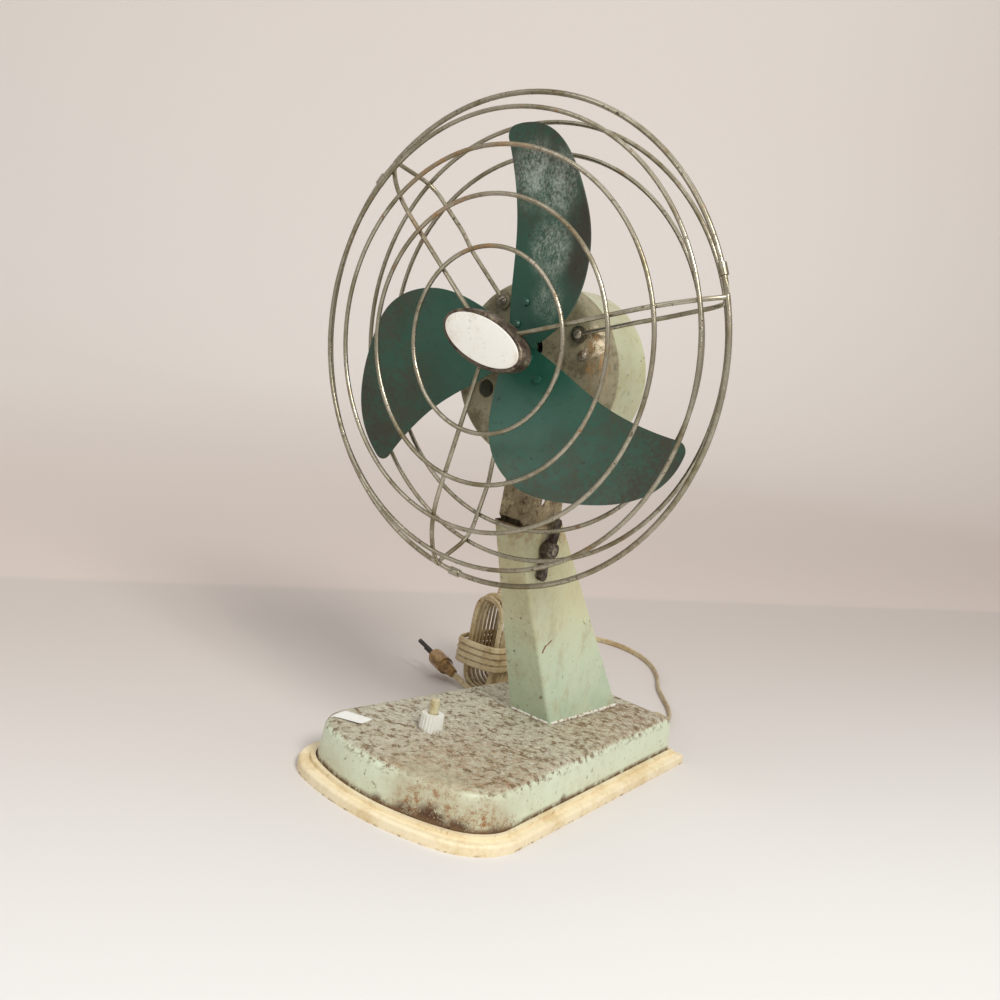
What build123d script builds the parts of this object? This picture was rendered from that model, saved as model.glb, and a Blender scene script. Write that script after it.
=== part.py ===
from build123d import *
import os
from math import asin, atan2, cos, degrees, pi, radians, sin, tan

# A mid-century desk fan: a pressed steel base in a cream tray, a leaning folded neck,
# and a tilting head that carries the motor, three pressed blades and a wire guard.
# Millimetres. +Z is up, -Y is the way the fan blows, and the origin is on the
# surface that the fan stands on, below the middle of its base.

os.makedirs("parts", exist_ok=True)

# ---------------------------------------------------------------- driving sizes
base_front = 198.0        # width of the tray along its bowed front edge
base_rear = 144.0         # width of the tray along its back edge
base_length = 303.0       # front corners to back edge
base_bow = 28.0           # how far the front edge bulges forward
front_corner = 50.0       # corner radii of the tray in plan
rear_corner = 14.0
tray_height = 11.0
shell_inset = 11.0        # the shell stands this far inside the tray's edge
shell_floor = 5.0         # the shell's lower edge sits in the tray at this height
base_top = 40.0
shell_draft = 5.0         # degrees
shell_edge = 8.0          # radius along the top edge of the shell
sheet = 1.2               # pressed steel thickness

neck_foot_width = 41.0
neck_foot_front = 13.0
neck_foot_rear = 110.0
neck_top_width = 23.8
neck_top_front = -70.0
neck_top_rear = -15.0
neck_top = 205.0
neck_bend = 3.0           # outside bend radius of the folded neck

pivot_y = -34.0           # tilt bolt
pivot_z = 187.0
bolt_radius = 3.0

shaft_y = -108.0          # plane of the guard's rim
shaft_z = 334.0           # height of the fan shaft
guard_lift = 2.0          # the guard sits a little above the shaft line
guard_turn = 21.0         # angle of the first guard spoke above the horizontal
wire = 3.2                # guard wire
rim_wire = 3.8
front_rings = ((62.8, 27.2), (97.2, 27.2), (129.6, 25.0), (156.0, 13.6))
rim_radius = 168.0
back_rings = ((152.5, -27.4), (132.0, -32.1))
spoke_flat = 24.2         # how far in front of the rim the front spokes run
back_flat = -30.0         # how far behind the rim the back spokes run

housing_drop = 17.0       # the motor housing's centre lies below the shaft
cover_radius = 64.0
cover_front = -27.8       # front face of the motor cover, measured from the rim plane
cover_back = -46.0
bell_radius = 61.5
bell_back = -104.0

blade_tip = 151.0         # radius over the blade tips
blade_thickness = 1.2
blade_pitch = 14.0        # degrees
blade_turn = -6.0         # where the first blade stands, clockwise from upright
blade_camber = 240.0      # radius of the pressed hollow
hub_offset = -8.0         # blade sheet on the axis, measured from the rim plane
shaft_radius = 3.0
running_gap = 0.03

cord_diameter = 5.0
cord_gap = 0.6            # least daylight wanted between the turns of the hank


# ---------------------------------------------------------------- shared helpers
def head_plane(offset=0.0, rise=0.0):
    """Upright plane facing forward, on the shaft line, offset ahead of the rim."""
    return Plane(origin=(0, shaft_y - offset, shaft_z + rise), x_dir=(1, 0, 0), z_dir=(0, -1, 0))


def radial_plane(angle, rise=0.0):
    """Plane holding the shaft line: its x runs outwards at the angle, its y forwards."""
    out = Vector(cos(radians(angle)), 0, sin(radians(angle)))
    forward = Vector(0, -1, 0)
    return Plane(origin=(0, shaft_y, shaft_z + rise), x_dir=out, z_dir=out.cross(forward))


def base_outline(inset):
    """Plan of the base, a trapezoid with a bowed front, moved in by the inset."""
    front_y = -base_length / 2 + inset
    rear_y = base_length / 2 - inset
    slope = (base_front - base_rear) / 2 / base_length
    half_front = base_front / 2 - inset - slope * inset
    half_rear = base_rear / 2 - inset + slope * inset
    with BuildLine() as edge:
        ThreePointArc((-half_front, front_y), (0, front_y - base_bow), (half_front, front_y))
        Line((half_front, front_y), (half_rear, rear_y))
        Line((half_rear, rear_y), (-half_rear, rear_y))
        Line((-half_rear, rear_y), (-half_front, front_y))
    return edge.line


def base_face(inset, height):
    """The plan of the base as a rounded face at a height."""
    with BuildSketch(Plane.XY.offset(height)) as face:
        with BuildLine():
            add(base_outline(inset))
        make_face()
        front_points = face.vertices().group_by(Axis.Y)[0]
        rear_points = face.vertices().group_by(Axis.Y)[-1]
        fillet(front_points, front_corner - inset)
        fillet(rear_points, max(rear_corner - inset * 0.4, 5.0))
    return face.sketch


def neck_section(height, shrink=0.0):
    """Half width, front and rear of the neck at a height, moved in by the shrink."""
    share = (height - base_top) / (neck_top - base_top)
    half = (neck_foot_width + (neck_top_width - neck_foot_width) * share) / 2 - shrink
    front = neck_foot_front + (neck_top_front - neck_foot_front) * share + shrink
    rear = neck_foot_rear + (neck_top_rear - neck_foot_rear) * share
    return half, front, rear


# ---------------------------------------------------------------- base
# Cream tray: a shallow dish whose raised lip holds the steel shell.
tray_floor = 2.5
tray_wall = 3.0
with BuildPart() as base_tray:
    add(base_face(0.0, 0.0))
    extrude(amount=tray_height - 3.0)
    fillet(base_tray.faces().sort_by(Axis.Z)[-1].edges(), 2.5)
    add(base_face(shell_inset - tray_wall - 0.6, 0.0))
    extrude(amount=tray_height)
    add(base_face(shell_inset + 4.0, tray_floor))
    extrude(amount=tray_height, mode=Mode.SUBTRACT)
    add(base_face(shell_inset - 0.4, shell_floor))
    extrude(amount=tray_height, mode=Mode.SUBTRACT)
    with Locations(*[(x, y, 0) for x in (-52, 52) for y in (-96, 96)]):
        Hole(2.2)
base_tray.part.label = "base_tray"
export_step(base_tray.part, "parts/base_tray.step")

# Pressed steel shell with drafted sides, open below.
switch_at = (-19.0, -88.0)
gland_at = (25.0, 23.0)
shell_rear = base_length / 2 - shell_inset
gland_lean = radians(shell_draft)
gland_out = (0, cos(gland_lean), sin(gland_lean))
gland_face = shell_rear - (gland_at[1] - shell_floor) * tan(gland_lean)
gland_plane = Plane(origin=(gland_at[0], gland_face, gland_at[1]), x_dir=(-1, 0, 0), z_dir=gland_out)
gland_reach = 18.0
with BuildPart() as base_shell:
    add(base_face(shell_inset, shell_floor))
    extrude(amount=base_top - shell_floor, taper=shell_draft)
    fillet(base_shell.faces().sort_by(Axis.Z)[-1].edges(), shell_edge)
    offset(amount=-sheet, openings=base_shell.faces().sort_by(Axis.Z)[0])
    with Locations((*switch_at, base_top)):
        Hole(5.2, depth=10)
    with Locations((0, (neck_foot_front + neck_foot_rear) / 2, base_top)):
        Hole(11.0, depth=10)
    with BuildSketch(gland_plane.offset(5)):
        Circle(6.0)
    extrude(amount=-25, mode=Mode.SUBTRACT)
base_shell.part.label = "base_shell"
export_step(base_shell.part, "parts/base_shell.step")

# Four posts inside the shell that the tray is screwed to.
post_top = base_top - sheet
with BuildPart() as base_posts:
    for post_x in (-52, 52):
        for post_y in (-96, 96):
            with BuildSketch(Plane.XY.offset(tray_floor + 0.1)):
                with Locations((post_x, post_y)):
                    Circle(5.0)
                    Circle(1.7, mode=Mode.SUBTRACT)
            extrude(amount=post_top - tray_floor - 0.15)
base_posts.part.label = "base_posts"
export_step(base_posts.part, "parts/base_posts.step")

with BuildPart() as base_screws:
    for post_x in (-52, 52):
        for post_y in (-96, 96):
            with BuildSketch(Plane.XY.offset(0.4)):
                with Locations((post_x, post_y)):
                    Circle(2.1)
            extrude(amount=tray_floor - 0.4)
            with BuildSketch(Plane.XY.offset(tray_floor)):
                with Locations((post_x, post_y)):
                    Circle(1.65)
            extrude(amount=14)
base_screws.part.label = "base_screws"
export_step(base_screws.part, "parts/base_screws.step")

# Push switch: a box under the shell, a white fluted ring nut above it, a plunger.
switch_plane = Plane.XY.offset(base_top)
nut_radius = 9.2
nut_height = 13.0
flutes = 20
with BuildPart() as switch_body:
    with BuildSketch(Plane.XY.offset(base_top - sheet - 0.1)):
        with Locations(switch_at):
            Rectangle(18, 24)
    extrude(amount=-17)
    with BuildSketch(Plane.XY.offset(base_top - sheet - 0.1)):
        with Locations(switch_at):
            Circle(5.0)
    extrude(amount=9.0)
    with BuildSketch(Plane.XY.offset(base_top - sheet - 14)):
        with Locations(switch_at):
            Circle(3.9)
    extrude(amount=30, mode=Mode.SUBTRACT)
switch_body.part.label = "switch_body"
export_step(switch_body.part, "parts/switch_body.step")

with BuildPart() as switch_ring_nut:
    with BuildSketch(switch_plane.offset(0.05)):
        with Locations(switch_at):
            Circle(nut_radius)
            with PolarLocations(nut_radius + 0.25, flutes):
                Circle(0.85, mode=Mode.SUBTRACT)
    extrude(amount=nut_height, taper=3.0)
    with BuildSketch(switch_plane):
        with Locations(switch_at):
            Circle(5.05)
    extrude(amount=8.2, mode=Mode.SUBTRACT)
    with BuildSketch(switch_plane):
        with Locations(switch_at):
            Circle(4.2)
    extrude(amount=nut_height + 1, mode=Mode.SUBTRACT)
switch_ring_nut.part.label = "switch_ring_nut"
export_step(switch_ring_nut.part, "parts/switch_ring_nut.step")

plunger_top = base_top + nut_height + 11.5
plunger_foot = base_top - 9.0
with BuildPart() as switch_plunger:
    with BuildSketch(Plane.XY.offset(plunger_foot)):
        with Locations(switch_at):
            Circle(3.6)
    extrude(amount=plunger_top - plunger_foot)
    fillet(switch_plunger.faces().sort_by(Axis.Z)[-1].edges(), 1.2)
switch_plunger.part.label = "switch_plunger"
export_step(switch_plunger.part, "parts/switch_plunger.step")

# The return spring below the plunger, as one wound wire.
spring_radius = 2.6
spring_wire = 0.6
spring_foot = base_top - sheet - 13.2
spring_height = plunger_foot - spring_foot - 1.2
with BuildPart() as switch_spring:
    with BuildLine() as spring_path:
        Helix(pitch=spring_height / 4, height=spring_height, radius=spring_radius,
              center=(*switch_at, spring_foot))
    with BuildSketch(Plane(origin=spring_path.line @ 0, z_dir=spring_path.line % 0)):
        Circle(spring_wire / 2)
    sweep()
switch_spring.part.label = "switch_spring"
export_step(switch_spring.part, "parts/switch_spring.step")

with BuildPart() as switch_terminals:
    with BuildSketch(Plane.XY.offset(base_top - sheet - 17.1)):
        with Locations((switch_at[0], switch_at[1] - 7), (switch_at[0], switch_at[1] + 7)):
            Rectangle(5, 0.8)
    extrude(amount=-7)
switch_terminals.part.label = "switch_terminals"
export_step(switch_terminals.part, "parts/switch_terminals.step")

# Connector strip on the inside of the shell, where the mains cord meets the leads.
with BuildPart() as terminal_block:
    with BuildSketch(Plane.XY.offset(base_top - sheet - 0.1)):
        with Locations((25.0, 106.0)):
            Rectangle(20, 16)
    extrude(amount=-22)
    block_top = terminal_block.faces().sort_by(Axis.Z)[0]
    chamfer(block_top.edges(), 1.5)
    with Locations(*[(x, 106.0, base_top - sheet - 22.1) for x in (20.0, 30.0)]):
        Hole(2.0, depth=30)
terminal_block.part.label = "terminal_block"
export_step(terminal_block.part, "parts/terminal_block.step")

# Rubber gland in the shell's back wall, square to the drafted wall, round the mains cord.
with BuildPart() as cord_gland:
    with BuildSketch(gland_plane.offset(-sheet - 1.9)):
        Circle(8.4)
    extrude(amount=1.8)
    with BuildSketch(gland_plane.offset(-sheet - 0.2)):
        Circle(5.7)
    extrude(amount=sheet + 0.4)
    with BuildSketch(gland_plane.offset(0.1)):
        Circle(8.0)
    extrude(amount=gland_reach - 0.1, taper=14.0)
    with BuildSketch(gland_plane.offset(-10)):
        Circle(cord_diameter / 2 + 0.02)
    extrude(amount=30, mode=Mode.SUBTRACT)
cord_gland.part.label = "cord_gland"
export_step(cord_gland.part, "parts/cord_gland.step")

# ---------------------------------------------------------------- neck
# Folded sheet channel, open at the back, leaning forward and tapering upwards.
with BuildPart() as neck:
    for level in (base_top + 0.05, neck_top):
        half, front, rear = neck_section(level)
        with BuildSketch(Plane.XY.offset(level)) as outer:
            with Locations((0, (front + rear) / 2)):
                Rectangle(2 * half, rear - front)
            fillet(outer.vertices().group_by(Axis.Y)[0], neck_bend)
    loft(ruled=True)
    for level in (base_top - 5.0, neck_top + 5.0):
        half, front, rear = neck_section(level, sheet)
        with BuildSketch(Plane.XY.offset(level)) as inner:
            with Locations((0, (front + rear + 10) / 2)):
                Rectangle(2 * half, rear + 10 - front)
            fillet(inner.vertices().group_by(Axis.Y)[0], neck_bend - sheet)
    loft(ruled=True, mode=Mode.SUBTRACT)
    with BuildSketch(Plane.YZ.offset(-40)):
        with Locations((pivot_y, pivot_z)):
            Circle(bolt_radius + 0.1)
    extrude(amount=80, mode=Mode.SUBTRACT)
neck.part.label = "neck"
export_step(neck.part, "parts/neck.step")

# Foot inside the neck: a bent flange screwed down through the top of the shell.
foot_half, foot_front, foot_rear = neck_section(base_top + 6.0, sheet + 0.15)
foot_clear = 11.0
with BuildPart() as neck_foot:
    with BuildSketch(Plane.XY.offset(base_top + 0.05)):
        with Locations((0, (foot_front + foot_rear) / 2 + 2)):
            Rectangle(2 * foot_half, foot_rear - foot_front - 8)
        with Locations((0, (neck_foot_front + neck_foot_rear) / 2)):
            Circle(foot_clear, mode=Mode.SUBTRACT)
        with Locations((-11, foot_front + 14), (11, foot_front + 14), (-11, foot_rear - 12), (11, foot_rear - 12)):
            Circle(2.0, mode=Mode.SUBTRACT)
    extrude(amount=1.5)
    with BuildSketch(Plane.XY.offset(base_top + 1.5)):
        with Locations((-foot_half + 0.75, (foot_front + foot_rear) / 2 + 2), (foot_half - 0.75, (foot_front + foot_rear) / 2 + 2)):
            Rectangle(1.5, foot_rear - foot_front - 30)
    extrude(amount=4.5)
neck_foot.part.label = "neck_foot"
export_step(neck_foot.part, "parts/neck_foot.step")

foot_screw_places = ((-11, foot_front + 14), (11, foot_front + 14), (-11, foot_rear - 12), (11, foot_rear - 12))
with BuildPart() as neck_screws:
    for screw_x, screw_y in foot_screw_places:
        with BuildSketch(Plane.XY.offset(base_top + 1.6)):
            with Locations((screw_x, screw_y)):
                Circle(3.4)
        extrude(amount=2.2)
        with BuildSketch(Plane.XY.offset(base_top + 1.6)):
            with Locations((screw_x, screw_y)):
                Circle(1.9)
        extrude(amount=-1.55)
neck_screws.part.label = "neck_screws"
export_step(neck_screws.part, "parts/neck_screws.step")

# Two flat rivets on the right cheek of the neck.
with BuildPart() as neck_rivets:
    for rivet_y, rivet_z in ((-13.0, 193.0), (40.0, 123.0)):
        rivet_half = neck_section(rivet_z)[0]
        lean = degrees(atan2((neck_foot_width - neck_top_width) / 2, neck_top - base_top))
        rivet_plane = Plane(origin=(rivet_half + 0.05, rivet_y, rivet_z), z_dir=(cos(radians(lean)), 0, sin(radians(lean))))
        with BuildSketch(rivet_plane):
            Circle(3.0)
        extrude(amount=1.1, taper=20)
neck_rivets.part.label = "neck_rivets"
export_step(neck_rivets.part, "parts/neck_rivets.step")

# ---------------------------------------------------------------- tilt clamp
pivot_half = neck_section(pivot_z)[0]
cheek_half = 10.2
with BuildPart() as tilt_bolt:
    with BuildSketch(Plane.YZ.offset(-pivot_half - 5.0)):
        with Locations((pivot_y, pivot_z)):
            Circle(6.0)
    extrude(amount=4.2)
    fillet(tilt_bolt.faces().sort_by(Axis.X)[0].edges(), 1.6)
    with BuildSketch(Plane.YZ.offset(-pivot_half - 1.0)):
        with Locations((pivot_y, pivot_z)):
            Circle(bolt_radius)
    extrude(amount=2 * pivot_half + 11)
tilt_bolt.part.label = "tilt_bolt"
export_step(tilt_bolt.part, "parts/tilt_bolt.step")

washer_gap = 0.12
with BuildPart() as tilt_washers:
    for side in (-1, 1):
        inner_x = cheek_half + washer_gap
        outer_x = pivot_half - sheet - 0.5
        with BuildSketch(Plane.YZ.offset(side * inner_x)):
            with Locations((pivot_y, pivot_z)):
                Circle(8.0)
                Circle(bolt_radius + 0.05, mode=Mode.SUBTRACT)
        extrude(amount=side * (outer_x - inner_x))
tilt_washers.part.label = "tilt_washers"
export_step(tilt_washers.part, "parts/tilt_washers.step")

# Cast wing nut on the right side of the neck, one wing up and one down.
wing_face = pivot_half + 1.6
wing_span = 24.0
with BuildPart() as wing_nut:
    with BuildSketch(Plane.YZ.offset(wing_face)):
        with Locations((pivot_y, pivot_z)):
            Circle(7.0)
    extrude(amount=8.0, taper=8)
    for side in (-1, 1):
        wing_plane = Plane(origin=(wing_face + 1.2, pivot_y, pivot_z), x_dir=(0, 0.17 * side, side), z_dir=(1, 0, 0))
        with BuildSketch(wing_plane):
            with BuildLine():
                ThreePointArc((0, -3.6), (wing_span / 2, -4.6), (wing_span - 5, -3.4))
                ThreePointArc((wing_span - 5, -3.4), (wing_span, 1.6), (wing_span - 5, 4.6))
                ThreePointArc((wing_span - 5, 4.6), (wing_span / 2, 2.6), (0, 3.6))
                Line((0, 3.6), (0, -3.6))
            make_face()
        extrude(amount=4.2)
    with BuildSketch(Plane.YZ.offset(wing_face - 1)):
        with Locations((pivot_y, pivot_z)):
            Circle(bolt_radius + 0.05)
    extrude(amount=14, mode=Mode.SUBTRACT)
wing_nut.part.label = "wing_nut"
export_step(wing_nut.part, "parts/wing_nut.step")

# ---------------------------------------------------------------- head bracket
# Two cheeks joined by a front web, with a curved saddle that the bell rests in.
bracket_front = -66.5
bracket_rear = -16.0
web_bottom = 209.0
web_top = 241.0
housing_z = shaft_z - housing_drop
saddle_front = -53.0
saddle_rear = -20.0
saddle_radius = bell_radius + 0.1
eye_at = (-43.0, 223.0)
with BuildPart() as head_bracket:
    for side in (-1, 1):
        with BuildSketch(Plane.YZ.offset(side * cheek_half)):
            with BuildLine():
                Line((bracket_front, web_bottom), (bracket_front, web_top))
                Line((bracket_front, web_top), (saddle_front, housing_z - bell_radius + 0.2))
                Line((saddle_front, housing_z - bell_radius + 0.2), (saddle_rear, housing_z - bell_radius + 0.2))
                Line((saddle_rear, housing_z - bell_radius + 0.2), (bracket_rear, 205.0))
                Line((bracket_rear, 205.0), (pivot_y + 12.0, pivot_z))
                ThreePointArc((pivot_y + 12.0, pivot_z), (pivot_y, pivot_z - 12.0), (pivot_y - 12.0, pivot_z))
                Line((pivot_y - 12.0, pivot_z), (bracket_front, web_bottom))
            make_face()
        extrude(amount=-side * 1.6)
    with BuildSketch(Plane.XZ.offset(-bracket_front)):
        with Locations((0, (web_bottom + web_top) / 2)):
            RectangleRounded(2 * cheek_half, web_top - web_bottom, 1.5)
    extrude(amount=-1.6)
    with BuildSketch(Plane.XZ.offset(-saddle_front)):
        with BuildLine():
            saddle_angle = 14.0
            for radius in (saddle_radius, saddle_radius + 1.8):
                CenterArc((0, housing_z), radius, -90 - saddle_angle, 2 * saddle_angle)
            for side in (-1, 1):
                lean = radians(-90 + side * saddle_angle)
                Line((saddle_radius * cos(lean), housing_z + saddle_radius * sin(lean)),
                     ((saddle_radius + 1.8) * cos(lean), housing_z + (saddle_radius + 1.8) * sin(lean)))
        make_face()
    extrude(amount=saddle_front - saddle_rear)
    with BuildSketch(Plane.XZ.offset(-saddle_front + 2)):
        with Locations((0, housing_z)):
            Circle(saddle_radius)
    extrude(amount=saddle_front - saddle_rear - 6, mode=Mode.SUBTRACT)
    with BuildSketch(Plane.YZ.offset(-40)):
        with Locations((pivot_y, pivot_z)):
            Circle(bolt_radius + 0.05)
        with Locations(eye_at):
            Circle(4.0)
    extrude(amount=80, mode=Mode.SUBTRACT)
    with Locations((0, saddle_front + 8, 240), (0, saddle_rear - 8, 240)):
        Cylinder(1.9, 60, mode=Mode.SUBTRACT)
head_bracket.part.label = "head_bracket"
export_step(head_bracket.part, "parts/head_bracket.step")

# ---------------------------------------------------------------- motor housing
hole_at = (-33.0, -37.0)
cover_screw_at = (43.0, 3.0)
guard_eye_radius = 40.0
guard_eyes = [(guard_eye_radius * cos(radians(guard_turn + 120 * i)),
               guard_lift + guard_eye_radius * sin(radians(guard_turn + 120 * i))) for i in range(3)]
with BuildPart() as motor_front_cover:
    with BuildSketch(head_plane(cover_back)):
        with Locations((0, -housing_drop)):
            Circle(cover_radius)
    extrude(amount=cover_front - cover_back)
    fillet(motor_front_cover.faces().sort_by(Axis.Y)[0].edges(), 5.0)
    offset(amount=-sheet, openings=motor_front_cover.faces().sort_by(Axis.Y)[-1])
    with BuildSketch(head_plane(cover_front + 5)):
        Circle(9.0)
        with Locations(hole_at):
            Circle(6.5)
        with Locations(cover_screw_at, (-43.0, 3.0), *guard_eyes):
            Circle(1.8)
    extrude(amount=-12, mode=Mode.SUBTRACT)
motor_front_cover.part.label = "motor_front_cover"
export_step(motor_front_cover.part, "parts/motor_front_cover.step")

bell_front = cover_back + 0.1
bell_shoulder = -92.0
bell_lip = 54.0
with BuildPart() as motor_bell:
    with BuildSketch(Plane(origin=(0, shaft_y, housing_z), x_dir=(1, 0, 0), z_dir=(0, 0, 1))):
        with BuildLine():
            Line((0, -bell_back), (46.0, -bell_back))
            ThreePointArc((46.0, -bell_back), (51.5, -bell_back - 2.0), (bell_lip, -bell_back - 7.5))
            Line((bell_lip, -bell_back - 7.5), (bell_radius - 1.6, -bell_shoulder - 3.0))
            Line((bell_radius - 1.6, -bell_shoulder - 3.0), (bell_radius, -bell_front))
            Line((bell_radius, -bell_front), (0, -bell_front))
            Line((0, -bell_front), (0, -bell_back))
        make_face()
    revolve(axis=Axis((0, 0, housing_z), (0, 1, 0)))
    offset(amount=-sheet, openings=motor_bell.faces().sort_by(Axis.Y)[0])
    with BuildSketch(head_plane(bell_back - 5)):
        with Locations((0, -housing_drop)):
            with PolarLocations(30.0, 8):
                SlotOverall(16.0, 4.0)
    extrude(amount=12, mode=Mode.SUBTRACT)
    with Locations((0, saddle_front + 8, 250), (0, saddle_rear - 8, 250)):
        Cylinder(1.9, 30, mode=Mode.SUBTRACT)
    with Locations((-4.0, -58.5, 256)):
        Cylinder(2.1, 12, mode=Mode.SUBTRACT)
motor_bell.part.label = "motor_bell"
export_step(motor_bell.part, "parts/motor_bell.step")

with BuildPart() as saddle_screws:
    screw_seat = housing_z - saddle_radius - 1.9
    for screw_y in (saddle_front + 8, saddle_rear - 8):
        with BuildSketch(Plane.XY.offset(screw_seat)):
            with Locations((0, screw_y)):
                Circle(3.4)
        extrude(amount=-2.4)
        with BuildSketch(Plane.XY.offset(screw_seat)):
            with Locations((0, screw_y)):
                Circle(1.8)
        extrude(amount=6)
saddle_screws.part.label = "saddle_screws"
export_step(saddle_screws.part, "parts/saddle_screws.step")

with BuildPart() as cover_screws:
    for screw_x, screw_y in (cover_screw_at, (-43.0, 3.0)):
        with BuildSketch(head_plane(cover_front + 0.05)):
            with Locations((screw_x, screw_y)):
                Circle(3.6)
        extrude(amount=2.4, taper=18)
        with BuildSketch(head_plane(cover_front + 0.05)):
            with Locations((screw_x, screw_y)):
                Circle(1.7)
        extrude(amount=-12)
cover_screws.part.label = "cover_screws"
export_step(cover_screws.part, "parts/cover_screws.step")

# ---------------------------------------------------------------- motor inside
core_front = -60.0
core_back = -80.0
with BuildPart() as stator_core:
    with BuildSketch(head_plane(core_back)):
        with Locations((0, -17.0)):
            RectangleRounded(60, 86, 3)
        Circle(17.2, mode=Mode.SUBTRACT)
        with Locations((0, -37.0)):
            Rectangle(34, 22, mode=Mode.SUBTRACT)
        with Locations((-24, 20), (24, 20)):
            Circle(2.1, mode=Mode.SUBTRACT)
    extrude(amount=core_front - core_back)
stator_core.part.label = "stator_core"
export_step(stator_core.part, "parts/stator_core.step")

coil_top = -27.0
coil_bottom = -69.0
with BuildPart() as stator_coil:
    with BuildSketch(head_plane(core_back - 6)):
        with Locations((0, (coil_top + coil_bottom) / 2)):
            RectangleRounded(33, coil_top - coil_bottom, 4)
    extrude(amount=core_front - core_back + 12)
    with BuildSketch(head_plane(core_back - 0.1)):
        with Locations((0, -54.05)):
            Rectangle(40, 12.3)
    extrude(amount=core_front - core_back + 0.2, mode=Mode.SUBTRACT)
stator_coil.part.label = "stator_coil"
export_step(stator_coil.part, "parts/stator_coil.step")

with BuildPart() as shading_rings:
    for side in (-1, 1):
        with BuildSketch(head_plane(core_front + 0.1)):
            with Locations((side * 20.5, side * 9.0)):
                Rectangle(5, 12)
        extrude(amount=1.8)
        with BuildSketch(head_plane(core_back - 0.1)):
            with Locations((side * 20.5, side * 9.0)):
                Rectangle(5, 12)
        extrude(amount=-1.8)
shading_rings.part.label = "shading_rings"
export_step(shading_rings.part, "parts/shading_rings.step")

bush_radius = 6.0
bridge_depth = 2.5
front_bridge_at = -53.0
back_bridge_at = -87.0


def bearing_bridge(back_face, core_face):
    """Strip across the core that carries a bush, on two spacers."""
    spacer_end = back_face + bridge_depth if back_face < core_face else back_face
    with BuildPart() as bridge:
        with BuildSketch(head_plane(back_face)):
            with Locations((0, 10.0)):
                RectangleRounded(60, 34, 6)
        extrude(amount=bridge_depth)
        with BuildSketch(head_plane(spacer_end)):
            with Locations((-24, 20), (24, 20)):
                Circle(4.0)
        extrude(amount=core_face - spacer_end)
        with BuildSketch(head_plane(back_face - 20)):
            Circle(bush_radius)
            with Locations((-24, 20), (24, 20)):
                Circle(2.1)
        extrude(amount=40, mode=Mode.SUBTRACT)
    return bridge.part


with BuildPart() as front_bridge:
    add(bearing_bridge(front_bridge_at, core_front + 0.05))
front_bridge.part.label = "front_bearing_bridge"
export_step(front_bridge.part, "parts/front_bearing_bridge.step")

with BuildPart() as back_bridge:
    add(bearing_bridge(back_bridge_at, core_back - 0.05))
back_bridge.part.label = "rear_bearing_bridge"
export_step(back_bridge.part, "parts/rear_bearing_bridge.step")

with BuildPart() as front_bush:
    with BuildSketch(head_plane(front_bridge_at - 2)):
        Circle(bush_radius)
        Circle(shaft_radius + running_gap, mode=Mode.SUBTRACT)
    extrude(amount=9)
front_bush.part.label = "front_bush"
export_step(front_bush.part, "parts/front_bush.step")

with BuildPart() as rear_bush:
    with BuildSketch(head_plane(back_bridge_at - 3)):
        Circle(bush_radius)
        Circle(shaft_radius + running_gap, mode=Mode.SUBTRACT)
    extrude(amount=8)
rear_bush.part.label = "rear_bush"
export_step(rear_bush.part, "parts/rear_bush.step")

with BuildPart() as frame_screws:
    for side in (-1, 1):
        with BuildSketch(head_plane(back_bridge_at - 2.6)):
            with Locations((side * 24, 20)):
                RegularPolygon(3.8, 6)
        extrude(amount=2.5)
        with BuildSketch(head_plane(back_bridge_at - 1)):
            with Locations((side * 24, 20)):
                Circle(2.0)
        extrude(amount=front_bridge_at - back_bridge_at + 5)
frame_screws.part.label = "frame_screws"
export_step(frame_screws.part, "parts/frame_screws.step")

# ---------------------------------------------------------------- turning set
rotor_radius = 16.7
with BuildPart() as motor_shaft:
    with BuildSketch(head_plane(-97.0)):
        Circle(shaft_radius)
    extrude(amount=97.0 + 5.0)
    chamfer(motor_shaft.edges().group_by(Axis.Y)[0], 0.5)
motor_shaft.part.label = "motor_shaft"
export_step(motor_shaft.part, "parts/motor_shaft.step")

with BuildPart() as rotor:
    with BuildSketch(head_plane(core_back + 0.5)):
        Circle(rotor_radius)
        Circle(shaft_radius, mode=Mode.SUBTRACT)
    extrude(amount=core_front - core_back - 1.0)
rotor.part.label = "rotor"
export_step(rotor.part, "parts/rotor.step")

# Oil slinger collars on the shaft, one at each end of the rotor.
with BuildPart() as shaft_collars:
    for collar_at in (-58.6, -81.8):
        with BuildSketch(head_plane(collar_at)):
            Circle(5.0)
            Circle(shaft_radius, mode=Mode.SUBTRACT)
        extrude(amount=2.1)
shaft_collars.part.label = "shaft_collars"
export_step(shaft_collars.part, "parts/shaft_collars.step")


# ---------------------------------------------------------------- blades
def blade_frame(turn, lift=0.0):
    """Frame of a blade: x along its width, y outwards, z forwards, pitched about y."""
    out = Vector(sin(radians(turn)), 0, cos(radians(turn)))
    wide = Vector(cos(radians(turn)), 0, -sin(radians(turn)))
    forward = Vector(0, -1, 0)
    pitched = wide * cos(radians(blade_pitch)) + forward * sin(radians(blade_pitch))
    normal = forward * cos(radians(blade_pitch)) - wide * sin(radians(blade_pitch))
    origin = Vector(0, shaft_y - hub_offset, shaft_z) + normal * lift
    return Plane(origin=origin, x_dir=pitched, z_dir=normal)


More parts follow.
